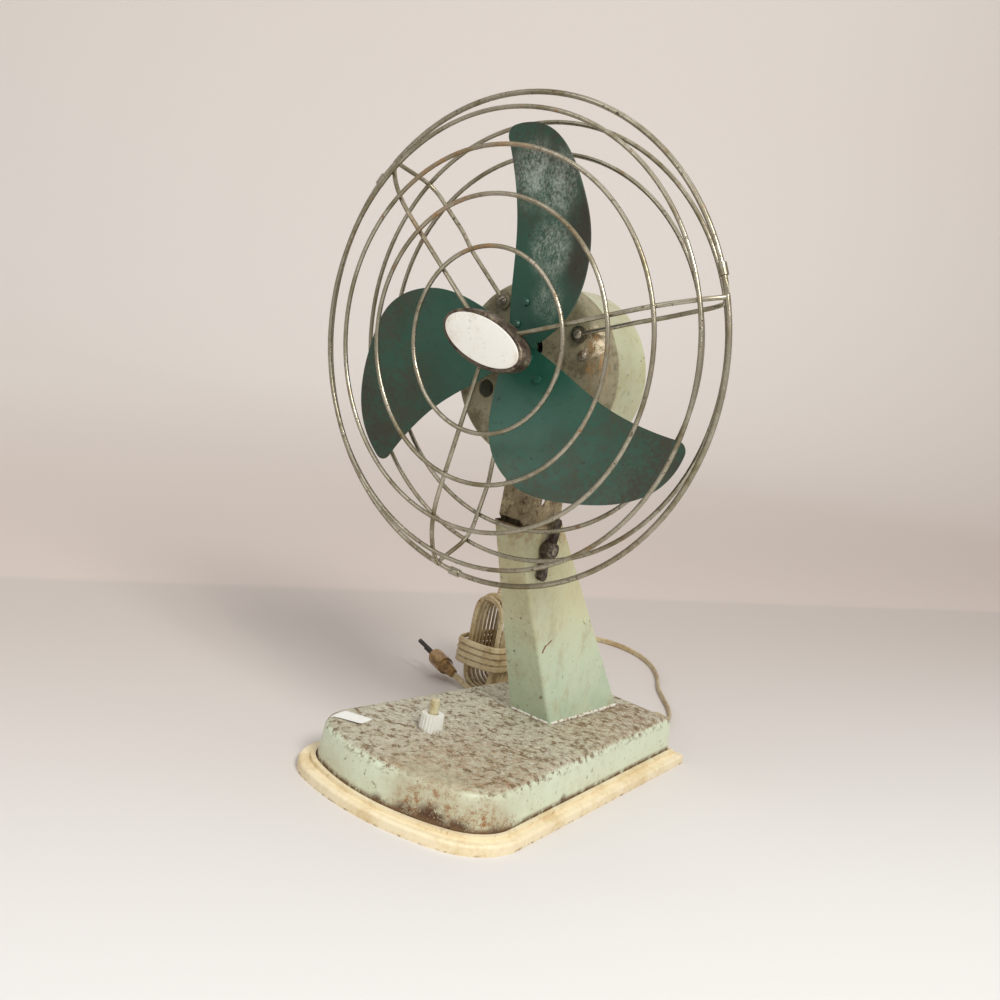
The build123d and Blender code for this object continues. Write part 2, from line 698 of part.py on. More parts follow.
def strip(frame, inner, outer, thickness, half_width):
    """Hollow sheet of a blade's curve, seen from its tip and pushed out along it."""
    across = Plane(origin=frame.origin + frame.y_dir * inner, x_dir=frame.x_dir, z_dir=frame.y_dir)
    # y of this plane runs backwards, so the hollow side faces forward
    middle = (camber_middle, -blade_camber)
    reach = degrees(half_width / blade_camber)
    with BuildPart() as sheet_strip:
        with BuildSketch(across):
            with BuildLine():
                CenterArc(middle, blade_camber, 90 - reach, 2 * reach)
                CenterArc(middle, blade_camber + thickness, 90 - reach, 2 * reach)
                for side in (-1, 1):
                    lean = radians(90 + side * reach)
                    inner_end = (middle[0] + blade_camber * cos(lean), middle[1] + blade_camber * sin(lean))
                    outer_reach = blade_camber + thickness
                    outer_end = (middle[0] + outer_reach * cos(lean), middle[1] + outer_reach * sin(lean))
                    Line(inner_end, outer_end)
            make_face()
        extrude(amount=outer - inner)
    return sheet_strip.part


camber_middle = 18.0
blade_rivets_at = ((0.0, 15.0), (7.0, 30.5))
turns = [blade_turn + 120 * i for i in range(3)]
for number, turn in enumerate(turns, start=1):
    frame = blade_frame(turn)
    with BuildPart() as blade:
        with BuildSketch(frame.offset(-40)) as blade_outline:
            with BuildLine():
                Spline((-7, 12), (-9, 42), (-10, 80), (-17, 115), (-29, 147))
                Spline((-29, 147), (-10, 151.5), (8, 149), (32, 134), (55, 106), (69, 78), (69, 52), (59, 31),
                       (43, 16), (24, 4))
                ThreePointArc((24, 4), (6, 7), (-7, 12))
            make_face()
            fillet(blade_outline.vertices().sort_by(Axis.X)[0], 7)
        extrude(amount=80)
        add(strip(frame, -10, 170, blade_thickness, 90), mode=Mode.INTERSECT)
        with BuildSketch(frame.offset(-30)):
            with Locations(*blade_rivets_at):
                Circle(1.7)
        extrude(amount=60, mode=Mode.SUBTRACT)
    blade.part.label = f"blade_{number}"
    export_step(blade.part, f"parts/blade_{number}.step")

# Spider: a collar on the shaft with three arms behind the blades.
with BuildPart() as fan_hub:
    for turn in turns:
        arm_frame = blade_frame(turn, -blade_thickness - 0.12)
        with BuildPart(mode=Mode.PRIVATE) as arm:
            with BuildSketch(arm_frame.offset(-20)):
                with Locations((3.0, 18.0)):
                    SlotOverall(50.0, 16.0, rotation=78)
            extrude(amount=40)
            add(strip(arm_frame, -20, 60, 1.8, 40), mode=Mode.INTERSECT)
            with BuildSketch(arm_frame.offset(-20)):
                with Locations(*blade_rivets_at):
                    Circle(1.7)
            extrude(amount=40, mode=Mode.SUBTRACT)
        add(arm.part)
    with BuildSketch(head_plane(-22.0)):
        Circle(8.5)
    extrude(amount=11.4)
    with BuildSketch(head_plane(-11.0)):
        Circle(6.0)
    extrude(amount=7.0)
    with BuildSketch(head_plane(-30.0)):
        Circle(shaft_radius)
    extrude(amount=60, mode=Mode.SUBTRACT)
fan_hub.part.label = "fan_hub"
export_step(fan_hub.part, "parts/fan_hub.step")

with BuildPart() as blade_rivets:
    for turn in turns:
        frame = blade_frame(turn)
        for rivet_x, rivet_y in blade_rivets_at:
            sag = blade_camber - (blade_camber ** 2 - (rivet_x - camber_middle) ** 2) ** 0.5
            with BuildSketch(frame.offset(sag + 0.25)):
                with Locations((rivet_x, rivet_y)):
                    Circle(3.1)
            extrude(amount=1.8, taper=25)
            with BuildSketch(frame.offset(sag + 0.3)):
                with Locations((rivet_x, rivet_y)):
                    Circle(1.6)
            extrude(amount=-4.6)
blade_rivets.part.label = "blade_rivets"
export_step(blade_rivets.part, "parts/blade_rivets.step")

with BuildPart() as hub_nut:
    with BuildSketch(head_plane(-3.9)):
        RegularPolygon(6.0, 6)
        Circle(shaft_radius, mode=Mode.SUBTRACT)
    extrude(amount=5.0)
hub_nut.part.label = "hub_nut"
export_step(hub_nut.part, "parts/hub_nut.step")

# ---------------------------------------------------------------- guard
spoke_angles = [guard_turn + 120 * i for i in range(3)]
# each front spoke runs flat and then bends round to the rim in one arc
bend_start = 110.0
bend_run = rim_radius - 1.0 - bend_start
bend_drop = spoke_flat - 1.2
bend_radius = (bend_run ** 2 + bend_drop ** 2) / (2 * bend_drop)
half_bend = asin(bend_run / bend_radius) / 2
bend_middle = (bend_start + bend_radius * sin(half_bend), spoke_flat - bend_radius * (1 - cos(half_bend)))
with BuildPart(head_plane(0, guard_lift)) as front_guard:
    with Locations((0, 0, 0)):
        Torus(rim_radius, rim_wire / 2)
    for ring_radius, ring_offset in front_rings:
        with Locations((0, 0, ring_offset)):
            Torus(ring_radius, wire / 2)
    for angle in spoke_angles:
        with BuildLine(radial_plane(angle, guard_lift)) as spoke_path:
            Line((14.0, spoke_flat), (bend_start, spoke_flat))
            ThreePointArc((bend_start, spoke_flat), bend_middle, (rim_radius - 1.0, 1.2))
        with BuildSketch(Plane(origin=spoke_path.line @ 0, z_dir=spoke_path.line % 0)):
            Circle(wire / 2)
        sweep()
front_guard.part.label = "front_guard"
export_step(front_guard.part, "parts/front_guard.step")

eye_line = cover_front + 1.9
with BuildPart(head_plane(0, guard_lift)) as back_guard:
    for ring_radius, ring_offset in back_rings:
        with Locations((0, 0, ring_offset)):
            Torus(ring_radius, wire / 2)
    for angle in spoke_angles:
        with BuildLine(radial_plane(angle, guard_lift)) as back_path:
            FilletPolyline((guard_eye_radius + 4, eye_line), (86.0, eye_line), (106.0, back_flat),
                           (150.0, back_flat + 1.0), (rim_radius - 1.2, -2.4), radius=[40.0, 40.0, 22.0])
        with BuildSketch(Plane(origin=back_path.line @ 0, z_dir=back_path.line % 0)):
            Circle(wire / 2)
        sweep()
    for eye_x, eye_y in guard_eyes:
        with BuildSketch(head_plane(cover_front + 0.1)):
            with Locations((eye_x, eye_y)):
                Circle(6.0)
        extrude(amount=2.6)
        with BuildSketch(head_plane(cover_front - 1)):
            with Locations((eye_x, eye_y)):
                Circle(1.9)
        extrude(amount=12, mode=Mode.SUBTRACT)
back_guard.part.label = "back_guard"
export_step(back_guard.part, "parts/back_guard.step")

with BuildPart() as guard_screws:
    for eye_x, eye_y in guard_eyes:
        with BuildSketch(head_plane(cover_front + 2.8)):
            with Locations((eye_x, eye_y)):
                Circle(3.3)
        extrude(amount=2.0, taper=18)
        with BuildSketch(head_plane(cover_front + 2.8)):
            with Locations((eye_x, eye_y)):
                Circle(1.7)
        extrude(amount=-9)
guard_screws.part.label = "guard_screws"
export_step(guard_screws.part, "parts/guard_screws.step")

# Sheet clips that hold the two halves of the guard together at the rim.
with BuildPart() as guard_clips:
    for angle in spoke_angles:
        clip_plane = radial_plane(angle + 6.0, guard_lift)
        with BuildSketch(clip_plane.offset(-4)):
            with Locations((rim_radius, 0)):
                Circle(rim_wire / 2 + 1.1)
                Circle(rim_wire / 2 + 0.05, mode=Mode.SUBTRACT)
        extrude(amount=8)
guard_clips.part.label = "guard_clips"
export_step(guard_clips.part, "parts/guard_clips.step")

# Blank oval badge at the front of the guard: a dark cup and a white face.
badge_half = 36.5
badge_rise = 18.0
badge_turn = -12.0
cup_back = 21.5
with BuildPart() as badge_cup:
    with BuildSketch(head_plane(cup_back, guard_lift)):
        Ellipse(badge_half, badge_rise, rotation=badge_turn)
    extrude(amount=10.0, taper=3)
    fillet(badge_cup.faces().sort_by(Axis.Y)[0].edges(), 1.2)
    with BuildSketch(head_plane(cup_back + 9.0, guard_lift)):
        Ellipse(badge_half - 3.0, badge_rise - 3.0, rotation=badge_turn)
    extrude(amount=5.0, mode=Mode.SUBTRACT)
    with BuildSketch(head_plane(cup_back - 1, guard_lift)):
        Ellipse(badge_half - 3.0, badge_rise - 3.0, rotation=badge_turn)
    extrude(amount=8.5, mode=Mode.SUBTRACT)
    for angle in spoke_angles:
        with BuildLine(radial_plane(angle, guard_lift)) as notch_path:
            Line((12.0, spoke_flat), (60.0, spoke_flat))
        with BuildSketch(Plane(origin=notch_path.line @ 0, z_dir=notch_path.line % 0)):
            Circle(wire / 2 + 0.05)
        sweep(mode=Mode.SUBTRACT)
badge_cup.part.label = "badge_cup"
export_step(badge_cup.part, "parts/badge_cup.step")

with BuildPart() as badge_face:
    with BuildSketch(head_plane(cup_back + 9.05, guard_lift)):
        Ellipse(badge_half - 3.1, badge_rise - 3.1, rotation=badge_turn)
    extrude(amount=1.5)
    fillet(badge_face.faces().sort_by(Axis.Y)[0].edges(), 0.7)
badge_face.part.label = "badge_face"
export_step(badge_face.part, "parts/badge_face.step")

# ---------------------------------------------------------------- cords
def corner_radii(points, widest=400.0):
    """Largest tangent arc at each corner: 0.45 of the shorter run over tan(half turn)."""
    radii = []
    for before, here, after in zip(points, points[1:], points[2:]):
        arriving = Vector(*here) - Vector(*before)
        leaving = Vector(*after) - Vector(*here)
        half_turn = radians(arriving.get_angle(leaving)) / 2
        radii.append(min(0.45 * min(arriving.length, leaving.length) / tan(half_turn), widest))
    return radii


def start_plane(path):
    """Plane square to the start of a path."""
    return Plane(origin=path @ 0, z_dir=path % 0)


# Lead from the motor down through the bracket to just above the tilt bolt. Its end points at
# the bolt, so that the cut end slides past the start of the lower lead as the head tilts.
lead_diameter = 3.4
lead_x = -4.0
cut_lean = radians(75.0)
lead_end_reach = 15.0
lead_gap = 1.8


def from_bolt(reach):
    """Point of the lead at a distance from the tilt bolt, up and a little back."""
    return (lead_x, pivot_y + reach * cos(cut_lean), pivot_z + reach * sin(cut_lean))


lead_route = [
    (lead_x, -58.5, 262.0),
    (lead_x, -58.5, 248.0),
    (lead_x, -48.0, 229.0),
    from_bolt(31.0),
    from_bolt(lead_end_reach),
]
with BuildPart() as motor_lead:
    with BuildLine() as lead_path:
        FilletPolyline(*lead_route, radius=corner_radii(lead_route))
    with BuildSketch(start_plane(lead_path.wires()[0])):
        Circle(lead_diameter / 2)
    sweep()
motor_lead.part.label = "motor_lead"
export_step(motor_lead.part, "parts/motor_lead.step")

# The same lead goes on round the bolt, down the open neck and to the connector strip.
neck_lead_route = [
    from_bolt(lead_end_reach - lead_gap),
    from_bolt(9.0),
    (lead_x, pivot_y + 8.8, pivot_z - 4.0),
    (lead_x, 10.0, 130.0),
    (-3.0, 34.0, 98.0),
    (-1.0, 55.0, 66.0),
    (0.0, 61.0, 43.0),
    (4.0, 68.0, 30.0),
    (19.0, 82.0, 28.0),
    (21.0, 97.8, 28.0),
]
with BuildPart() as neck_lead:
    with BuildLine() as neck_lead_path:
        FilletPolyline(*neck_lead_route, radius=corner_radii(neck_lead_route))
    with BuildSketch(start_plane(neck_lead_path.wires()[0])):
        Circle(lead_diameter / 2)
    sweep()
neck_lead.part.label = "neck_lead"
export_step(neck_lead.part, "parts/neck_lead.step")

# Mains cord inside the base, from the connector strip to the gland.
with BuildPart() as inner_cord:
    with BuildSketch(gland_plane.offset(-sheet - 2.05)):
        Circle(cord_diameter / 2)
    extrude(amount=-19.5)
inner_cord.part.label = "inner_cord"
export_step(inner_cord.part, "parts/inner_cord.step")

# The hank stands on the floor: upright loops side by side, in one unbroken tube. Its first
# strand comes down from the plug, and its last turns back along the floor to the fan.
floor_z = cord_diameter / 2 + 0.2
hank_x = -122.0
hank_y = 102.0
hank_loops = 8
hank_pitch = 5.8
hank_half = 17.0
hank_top = 72.0
first_step = 6.6
tall_loop = 5
tall_extra = 18.0
plug_lean = radians(20.0)
plug_strand = 19.0
low_middle = floor_z + 0.3 + hank_half
plug_out = (-cos(plug_lean), 0, sin(plug_lean))
first_bend = (hank_x - hank_half * sin(plug_lean), hank_y, low_middle - hank_half * cos(plug_lean))
plug_face = tuple(place + plug_strand * way for place, way in zip(first_bend, plug_out))
exit_radius = 15.0


def hank_run_y(run):
    """How far back the upright run of this number stands."""
    return hank_y if run == 0 else hank_y + first_step + (run - 1) * hank_pitch / 2


def hank_arch_z(loop):
    """Height of the middle of a loop's upper half circle."""
    return hank_top + (tall_extra if loop == tall_loop else 2.2 * sin(1.9 * loop))


def half_circle(start, end, rise):
    """Half circle between two upright runs, in the upright plane through their ends."""
    reach = Vector(*end) - Vector(*start)
    middle = Vector(*start) + reach * 0.5 + Vector(0, 0, rise * reach.length / 2)
    return ThreePointArc(start, middle, end)


with BuildPart() as cord_hank:
    with BuildLine() as hank_path:
        Line(plug_face, first_bend)
        lowest = (hank_x + hank_half * sin(radians(35) - plug_lean), hank_y,
                  low_middle - hank_half * cos(radians(35) - plug_lean))
        corner = (hank_x + hank_half, hank_y, low_middle)
        ThreePointArc(first_bend, lowest, corner)
        foot = corner
        for loop in range(hank_loops):
            arch_z = hank_arch_z(loop)
            right_top = (hank_x + hank_half, hank_run_y(2 * loop), arch_z)
            left_top = (hank_x - hank_half, hank_run_y(2 * loop + 1), arch_z)
            left_foot = (left_top[0], left_top[1], low_middle)
            Line(foot, right_top)
            half_circle(right_top, left_top, 1)
            if loop < hank_loops - 1:
                right_foot = (right_top[0], hank_run_y(2 * loop + 2), low_middle)
                Line(left_top, left_foot)
                half_circle(left_foot, right_foot, -1)
                foot = right_foot
        exit_top = (left_top[0], left_top[1], floor_z + exit_radius)
        exit_mid = (left_top[0], left_top[1] + exit_radius * (1 - cos(pi / 4)),
                    floor_z + exit_radius * (1 - sin(pi / 4)))
        exit_low = (left_top[0], left_top[1] + exit_radius, floor_z)
        hank_end = (exit_low[0], exit_low[1] + cord_diameter, floor_z)
        Line(left_top, exit_top)
        ThreePointArc(exit_top, exit_mid, exit_low)
        Line(exit_low, hank_end)
    hank_wire = hank_path.wires()[0]
    with BuildSketch(start_plane(hank_wire)):
        Circle(cord_diameter / 2)
    sweep()
cord_hank.part.label = "cord_hank"
export_step(cord_hank.part, "parts/cord_hank.step")


def least_gap(wire, diameter, spacing=2.0):
    """Daylight between the parts of a tube that aren't next to each other along it."""
    count = int(wire.length / spacing)
    places = [wire.position_at(i / count) for i in range(count + 1)]
    places = [(place.X, place.Y, place.Z) for place in places]
    apart = int(4 * diameter / spacing)
    least = 1e9
    for i, (x, y, z) in enumerate(places):
        for other in places[i + apart:]:
            least = min(least, (x - other[0]) ** 2 + (y - other[1]) ** 2 + (z - other[2]) ** 2)
    return least ** 0.5 - diameter


print("hank length", round(hank_wire.length), "least gap to itself", round(least_gap(hank_wire, cord_diameter), 2))

# A few turns of the same cord round the waist of the hank.
tie_turns = 4
tie_pitch = 5.8
tie_foot = 27.0
tie_corner = 16.5
tie_clear = 8.8
tie_side = hank_half + tie_clear
tie_front = hank_y - tie_clear
tie_rear = hank_run_y(2 * hank_loops - 1) + tie_clear
tie_corners = ((-1, tie_rear), (-1, tie_front), (1, tie_front), (1, tie_rear))
tie_points = [(hank_x + 4.0, tie_rear, tie_foot)]
for turn in range(tie_turns):
    for quarter, (side, corner_y) in enumerate(tie_corners):
        tie_points.append((hank_x + side * tie_side, corner_y, tie_foot + (turn + (quarter + 0.5) / 4) * tie_pitch))
tie_points.append((hank_x - 4.0, tie_rear, tie_foot + tie_turns * tie_pitch))
with BuildPart() as cord_tie:
    with BuildLine() as tie_path:
        FilletPolyline(*tie_points, radius=tie_corner)
    tie_wire = tie_path.wires()[0]
    with BuildSketch(start_plane(tie_wire)):
        Circle(cord_diameter / 2)
    sweep()
cord_tie.part.label = "cord_tie"
export_step(cord_tie.part, "parts/cord_tie.step")
print("tie length", round(tie_wire.length), "least gap to itself", round(least_gap(tie_wire, cord_diameter), 2))

# Free stretch from the gland, round on the floor behind the base, to the hank.
cord_route = [
    tuple(gland_plane.origin + gland_plane.z_dir * -2.9),
    tuple(gland_plane.origin + gland_plane.z_dir * 32),
    (21, 204, 10.5),
    (12, 232, floor_z),
    (-4, 256, floor_z + 0.1),
    (-24, 278, floor_z),
    (-44, 301, floor_z),
    (-61, 330, floor_z),
    (-87, 360, floor_z),
    (-119, 379, floor_z),
    (-155, 380, floor_z),
    (-184, 361, floor_z),
    (-199, 329, floor_z),
    (-198, 299, floor_z),
    (-188, 268, floor_z),
    (-170, 240, floor_z),
    (-151, 215, floor_z),
    (hank_end[0], hank_end[1] + 24, floor_z),
    hank_end,
]
cord_arc_radii = corner_radii(cord_route)
print("cord corner radii", [round(r) for r in cord_arc_radii])
with BuildPart() as mains_cord:
    with BuildLine() as cord_path:
        FilletPolyline(*cord_route, radius=cord_arc_radii)
    cord_wire = cord_path.wires()[0]
    with BuildSketch(start_plane(cord_wire)):
        Circle(cord_diameter / 2)
    sweep()
cord_tube = cord_wire.length * pi * (cord_diameter / 2) ** 2
print("cord length", round(cord_wire.length), "section x length", round(cord_tube), "solid", round(mains_cord.part.volume))
mains_cord.part.label = "mains_cord"
export_step(mains_cord.part, "parts/mains_cord.step")

# ---------------------------------------------------------------- plug
pin_radius = 2.0
pin_length = 19.0
pin_spacing = 19.0
plug_length = 25.0
wide_way = Vector(0, 0.8, -0.6)
plug_axis = Vector(*plug_out)
wide_way = (wide_way - plug_axis * wide_way.dot(plug_axis)).normalized()
plug_plane = Plane(origin=plug_face, x_dir=wide_way, z_dir=plug_axis)
with BuildPart() as plug_body:
    with BuildSketch(plug_plane.offset(0.02)):
        Ellipse(5.0, 4.2)
    with BuildSketch(plug_plane.offset(11.0)):
        Ellipse(13.0, 6.2)
    loft()
    with BuildSketch(plug_plane.offset(11.0)):
        Ellipse(15.0, 7.6)
    extrude(amount=plug_length - 11.0)
    fillet(plug_body.faces().sort_by(Axis(plug_face, plug_out))[-1].edges(), 1.2)
plug_body.part.label = "plug_body"
export_step(plug_body.part, "parts/plug_body.step")

with BuildPart() as plug_pins:
    with BuildSketch(plug_plane.offset(plug_length)):
        with Locations((-pin_spacing / 2, 0), (pin_spacing / 2, 0)):
            Circle(pin_radius)
    extrude(amount=pin_length)
    fillet(plug_pins.faces().sort_by(Axis(plug_face, plug_out))[-2:].edges(), 0.9)
plug_pins.part.label = "plug_pins"
export_step(plug_pins.part, "parts/plug_pins.step")
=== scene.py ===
from math import cos, pi, radians, sin, tan
import bpy
import bmesh
import numpy as np
from mathutils import Matrix, Vector
from mathutils.bvhtree import BVHTree


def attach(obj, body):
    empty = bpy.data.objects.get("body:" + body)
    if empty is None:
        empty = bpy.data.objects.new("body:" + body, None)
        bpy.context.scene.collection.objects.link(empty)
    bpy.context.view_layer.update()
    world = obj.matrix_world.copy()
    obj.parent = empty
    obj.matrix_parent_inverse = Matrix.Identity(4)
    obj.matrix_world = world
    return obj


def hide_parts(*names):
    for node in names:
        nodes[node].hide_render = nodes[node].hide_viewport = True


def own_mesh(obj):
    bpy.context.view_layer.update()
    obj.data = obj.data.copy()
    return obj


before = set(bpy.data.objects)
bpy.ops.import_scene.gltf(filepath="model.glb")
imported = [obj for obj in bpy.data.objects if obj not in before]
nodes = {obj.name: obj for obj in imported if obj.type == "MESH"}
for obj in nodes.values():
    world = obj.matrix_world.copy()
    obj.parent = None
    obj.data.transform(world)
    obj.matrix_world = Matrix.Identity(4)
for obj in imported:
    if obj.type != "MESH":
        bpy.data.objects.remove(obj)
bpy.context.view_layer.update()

scene = bpy.context.scene
print("frame loaded,", len(nodes), "nodes")

# camera, set to the photograph's angle
cameraSetup = {
    "turn": 35.49, "height": 11.03, "roll": 11.06,     # degrees
    "distance": 1.1112, "lens": 50.4, "sensor": 36.0,
    "targetRight": -0.0765, "targetBack": 0.0488, "targetUp": 0.2017,
}


def placeCamera(setup):
    turn, height, roll = (radians(setup[key]) for key in ("turn", "height", "roll"))
    back = Vector((sin(turn) * cos(height), -cos(turn) * cos(height), sin(height)))
    right = Vector((cos(turn), sin(turn), 0))
    target = right * setup["targetRight"] + Vector((0, setup["targetBack"], setup["targetUp"]))
    up = back.cross(right)
    rolledRight = right * cos(roll) + up * sin(roll)
    rolledUp = up * cos(roll) - right * sin(roll)
    cameraData = bpy.data.cameras.new("photoCamera")
    cameraData.lens = setup["lens"]
    cameraData.sensor_width = setup["sensor"]
    camera = bpy.data.objects.new("photoCamera", cameraData)
    scene.collection.objects.link(camera)
    turned = Matrix((rolledRight, rolledUp, back)).transposed().to_4x4()
    camera.matrix_world = Matrix.Translation(target + back * setup["distance"]) @ turned
    scene.camera = camera


placeCamera(cameraSetup)
scene.view_settings.view_transform = "Standard"

# shader helpers
worldLook = {"background": (0.66, 0.61, 0.57), "strength": 0.50, "fill": (0.96, 0.97, 1.0)}


def paint(red, green, blue):
    # a colour as it is read from a photograph, 0 to 255, turned into the shader's own scale
    channels = []
    for value in (red, green, blue):
        share = value / 255
        channels.append(share / 12.92 if share < 0.04045 else ((share + 0.055) / 1.055) ** 2.4)
    return tuple(channels)


def addNode(tree, kind, inputs=None, **settings):
    node = tree.nodes.new(kind)
    for name, value in settings.items():
        setattr(node, name, value)
    for socket, value in (inputs or {}).items():
        if isinstance(value, bpy.types.NodeSocket):
            tree.links.new(value, node.inputs[socket])
        else:
            node.inputs[socket].default_value = value
    return node


def mathNode(tree, operation, first, second=0.0, clamp=False):
    return addNode(tree, "ShaderNodeMath", {0: first, 1: second}, operation=operation, use_clamp=clamp).outputs[0]


def mixColour(tree, mask, first, second, blend="MIX"):
    node = addNode(tree, "ShaderNodeMix", {0: mask, 6: first, 7: second}, data_type="RGBA", blend_type=blend)
    return node.outputs[2]


def mixValue(tree, mask, first, second):
    return addNode(tree, "ShaderNodeMix", {0: mask, 2: first, 3: second}, data_type="FLOAT").outputs[0]


def newGroup(name, inputs, outputs):
    group = bpy.data.node_groups.new(name, "ShaderNodeTree")
    for label, kind, value in inputs:
        socket = group.interface.new_socket(label, in_out="INPUT", socket_type="NodeSocket" + kind)
        if value is not None:
            socket.default_value = value
    for label, kind in outputs:
        group.interface.new_socket(label, in_out="OUTPUT", socket_type="NodeSocket" + kind)
    start = group.nodes.new("NodeGroupInput")
    end = group.nodes.new("NodeGroupOutput")
    return group, start, end


def makePatchGroup():
    # patches of dirt, rust or bare metal: broad noise broken up by fine noise
    group, start, end = newGroup("patches", [
        ("Vector", "Vector", None), ("Scale", "Float", 30.0), ("Amount", "Float", 0.4), ("Softness", "Float", 0.08),
        ("Breakup", "Float", 0.35), ("Seed", "Float", 0.0)], [("Mask", "Float")])
    spot = addNode(group, "ShaderNodeVectorMath", {0: start.outputs["Vector"]}, operation="ADD")
    shift = addNode(group, "ShaderNodeCombineXYZ", {0: start.outputs["Seed"], 1: start.outputs["Seed"], 2: 3.7})
    group.links.new(shift.outputs[0], spot.inputs[1])
    broad = addNode(group, "ShaderNodeTexNoise", {"Vector": spot.outputs[0], "Scale": start.outputs["Scale"],
                                                  "Detail": 5.0, "Roughness": 0.62})
    fineScale = mathNode(group, "MULTIPLY", start.outputs["Scale"], 6.5)
    fine = addNode(group, "ShaderNodeTexNoise", {"Vector": spot.outputs[0], "Scale": fineScale, "Detail": 6.0,
                                                 "Roughness": 0.7})
    blended = mixValue(group, start.outputs["Breakup"], broad.outputs[0], fine.outputs[0])
    # the noise gathers about a half, so the edge moves from 0.7 (no patch) to 0.3 (all patch)
    edge = mathNode(group, "SUBTRACT", 0.70, mathNode(group, "MULTIPLY", start.outputs["Amount"], 0.4))
    low = mathNode(group, "SUBTRACT", edge, start.outputs["Softness"])
    high = mathNode(group, "ADD", edge, start.outputs["Softness"])
    mask = addNode(group, "ShaderNodeMapRange", {"Value": blended, "From Min": low, "From Max": high},
                   interpolation_type="SMOOTHSTEP")
    group.links.new(mask.outputs[0], end.inputs[0])
    return group


def makeZoneGroup():
    # one from Start to End along Axis, fading in over the way between
    group, start, end = newGroup("zone", [
        ("Vector", "Vector", None), ("Axis", "Vector", (0, 0, 1)), ("Start", "Float", 0.0), ("End", "Float", 1.0)],
        [("Mask", "Float")])
    along = addNode(group, "ShaderNodeVectorMath", {0: start.outputs["Vector"], 1: start.outputs["Axis"]},
                    operation="DOT_PRODUCT")
    span = {"Value": along.outputs["Value"], "From Min": start.outputs["Start"], "From Max": start.outputs["End"]}
    mask = addNode(group, "ShaderNodeMapRange", span, interpolation_type="SMOOTHSTEP")
    group.links.new(mask.outputs[0], end.inputs[0])
    return group


def makeSpotGroup():
    # one inside Radius of Centre, fading out over Fade
    group, start, end = newGroup("spot", [
        ("Vector", "Vector", None), ("Centre", "Vector", (0, 0, 0)), ("Radius", "Float", 0.01),
        ("Fade", "Float", 0.005)], [("Mask", "Float")])
    away = addNode(group, "ShaderNodeVectorMath", {0: start.outputs["Vector"], 1: start.outputs["Centre"]},
                   operation="DISTANCE")
    outer = mathNode(group, "ADD", start.outputs["Radius"], start.outputs["Fade"])
    mask = addNode(group, "ShaderNodeMapRange", {"Value": away.outputs["Value"], "From Min": outer,
                                                 "From Max": start.outputs["Radius"]},
                   interpolation_type="SMOOTHSTEP")
    group.links.new(mask.outputs[0], end.inputs[0])
    return group


def makeScratchGroup():
    # one along the line from From to To, as wide as Width, its edges frayed by noise
    group, start, end = newGroup("scratch", [
        ("Vector", "Vector", None), ("From", "Vector", (0, 0, 0)), ("Along", "Vector", (0, 0, 0.01)),
        ("Width", "Float", 0.0003)], [("Mask", "Float")])
    away = addNode(group, "ShaderNodeVectorMath", {0: start.outputs["Vector"], 1: start.outputs["From"]},
                   operation="SUBTRACT")
    reach = addNode(group, "ShaderNodeVectorMath", {0: away.outputs[0], 1: start.outputs["Along"]},
                    operation="DOT_PRODUCT")
    square = addNode(group, "ShaderNodeVectorMath", {0: start.outputs["Along"], 1: start.outputs["Along"]},
                     operation="DOT_PRODUCT")
    share = mathNode(group, "DIVIDE", reach.outputs["Value"], square.outputs["Value"], clamp=True)
    nearest = addNode(group, "ShaderNodeVectorMath", {0: start.outputs["Along"]}, operation="SCALE")
    group.links.new(share, nearest.inputs["Scale"])
    gap = addNode(group, "ShaderNodeVectorMath", {0: away.outputs[0], 1: nearest.outputs[0]}, operation="DISTANCE")
    fray = addNode(group, "ShaderNodeTexNoise", {"Vector": start.outputs["Vector"], "Scale": 420.0, "Detail": 4.0})
    limit = mathNode(group, "MULTIPLY", start.outputs["Width"], mathNode(group, "MULTIPLY", fray.outputs[0], 2.0))
    mask = mathNode(group, "LESS_THAN", gap.outputs["Value"], limit)
    group.links.new(mask, end.inputs[0])
    return group


patchGroup = makePatchGroup()
zoneGroup = makeZoneGroup()
spotGroup = makeSpotGroup()
scratchGroup = makeScratchGroup()


def groupNode(tree, group, inputs):
    node = tree.nodes.new("ShaderNodeGroup")
    node.node_tree = group
    for name, value in inputs.items():
        if isinstance(value, bpy.types.NodeSocket):
            tree.links.new(value, node.inputs[name])
        else:
            node.inputs[name].default_value = value
    return node.outputs[0]


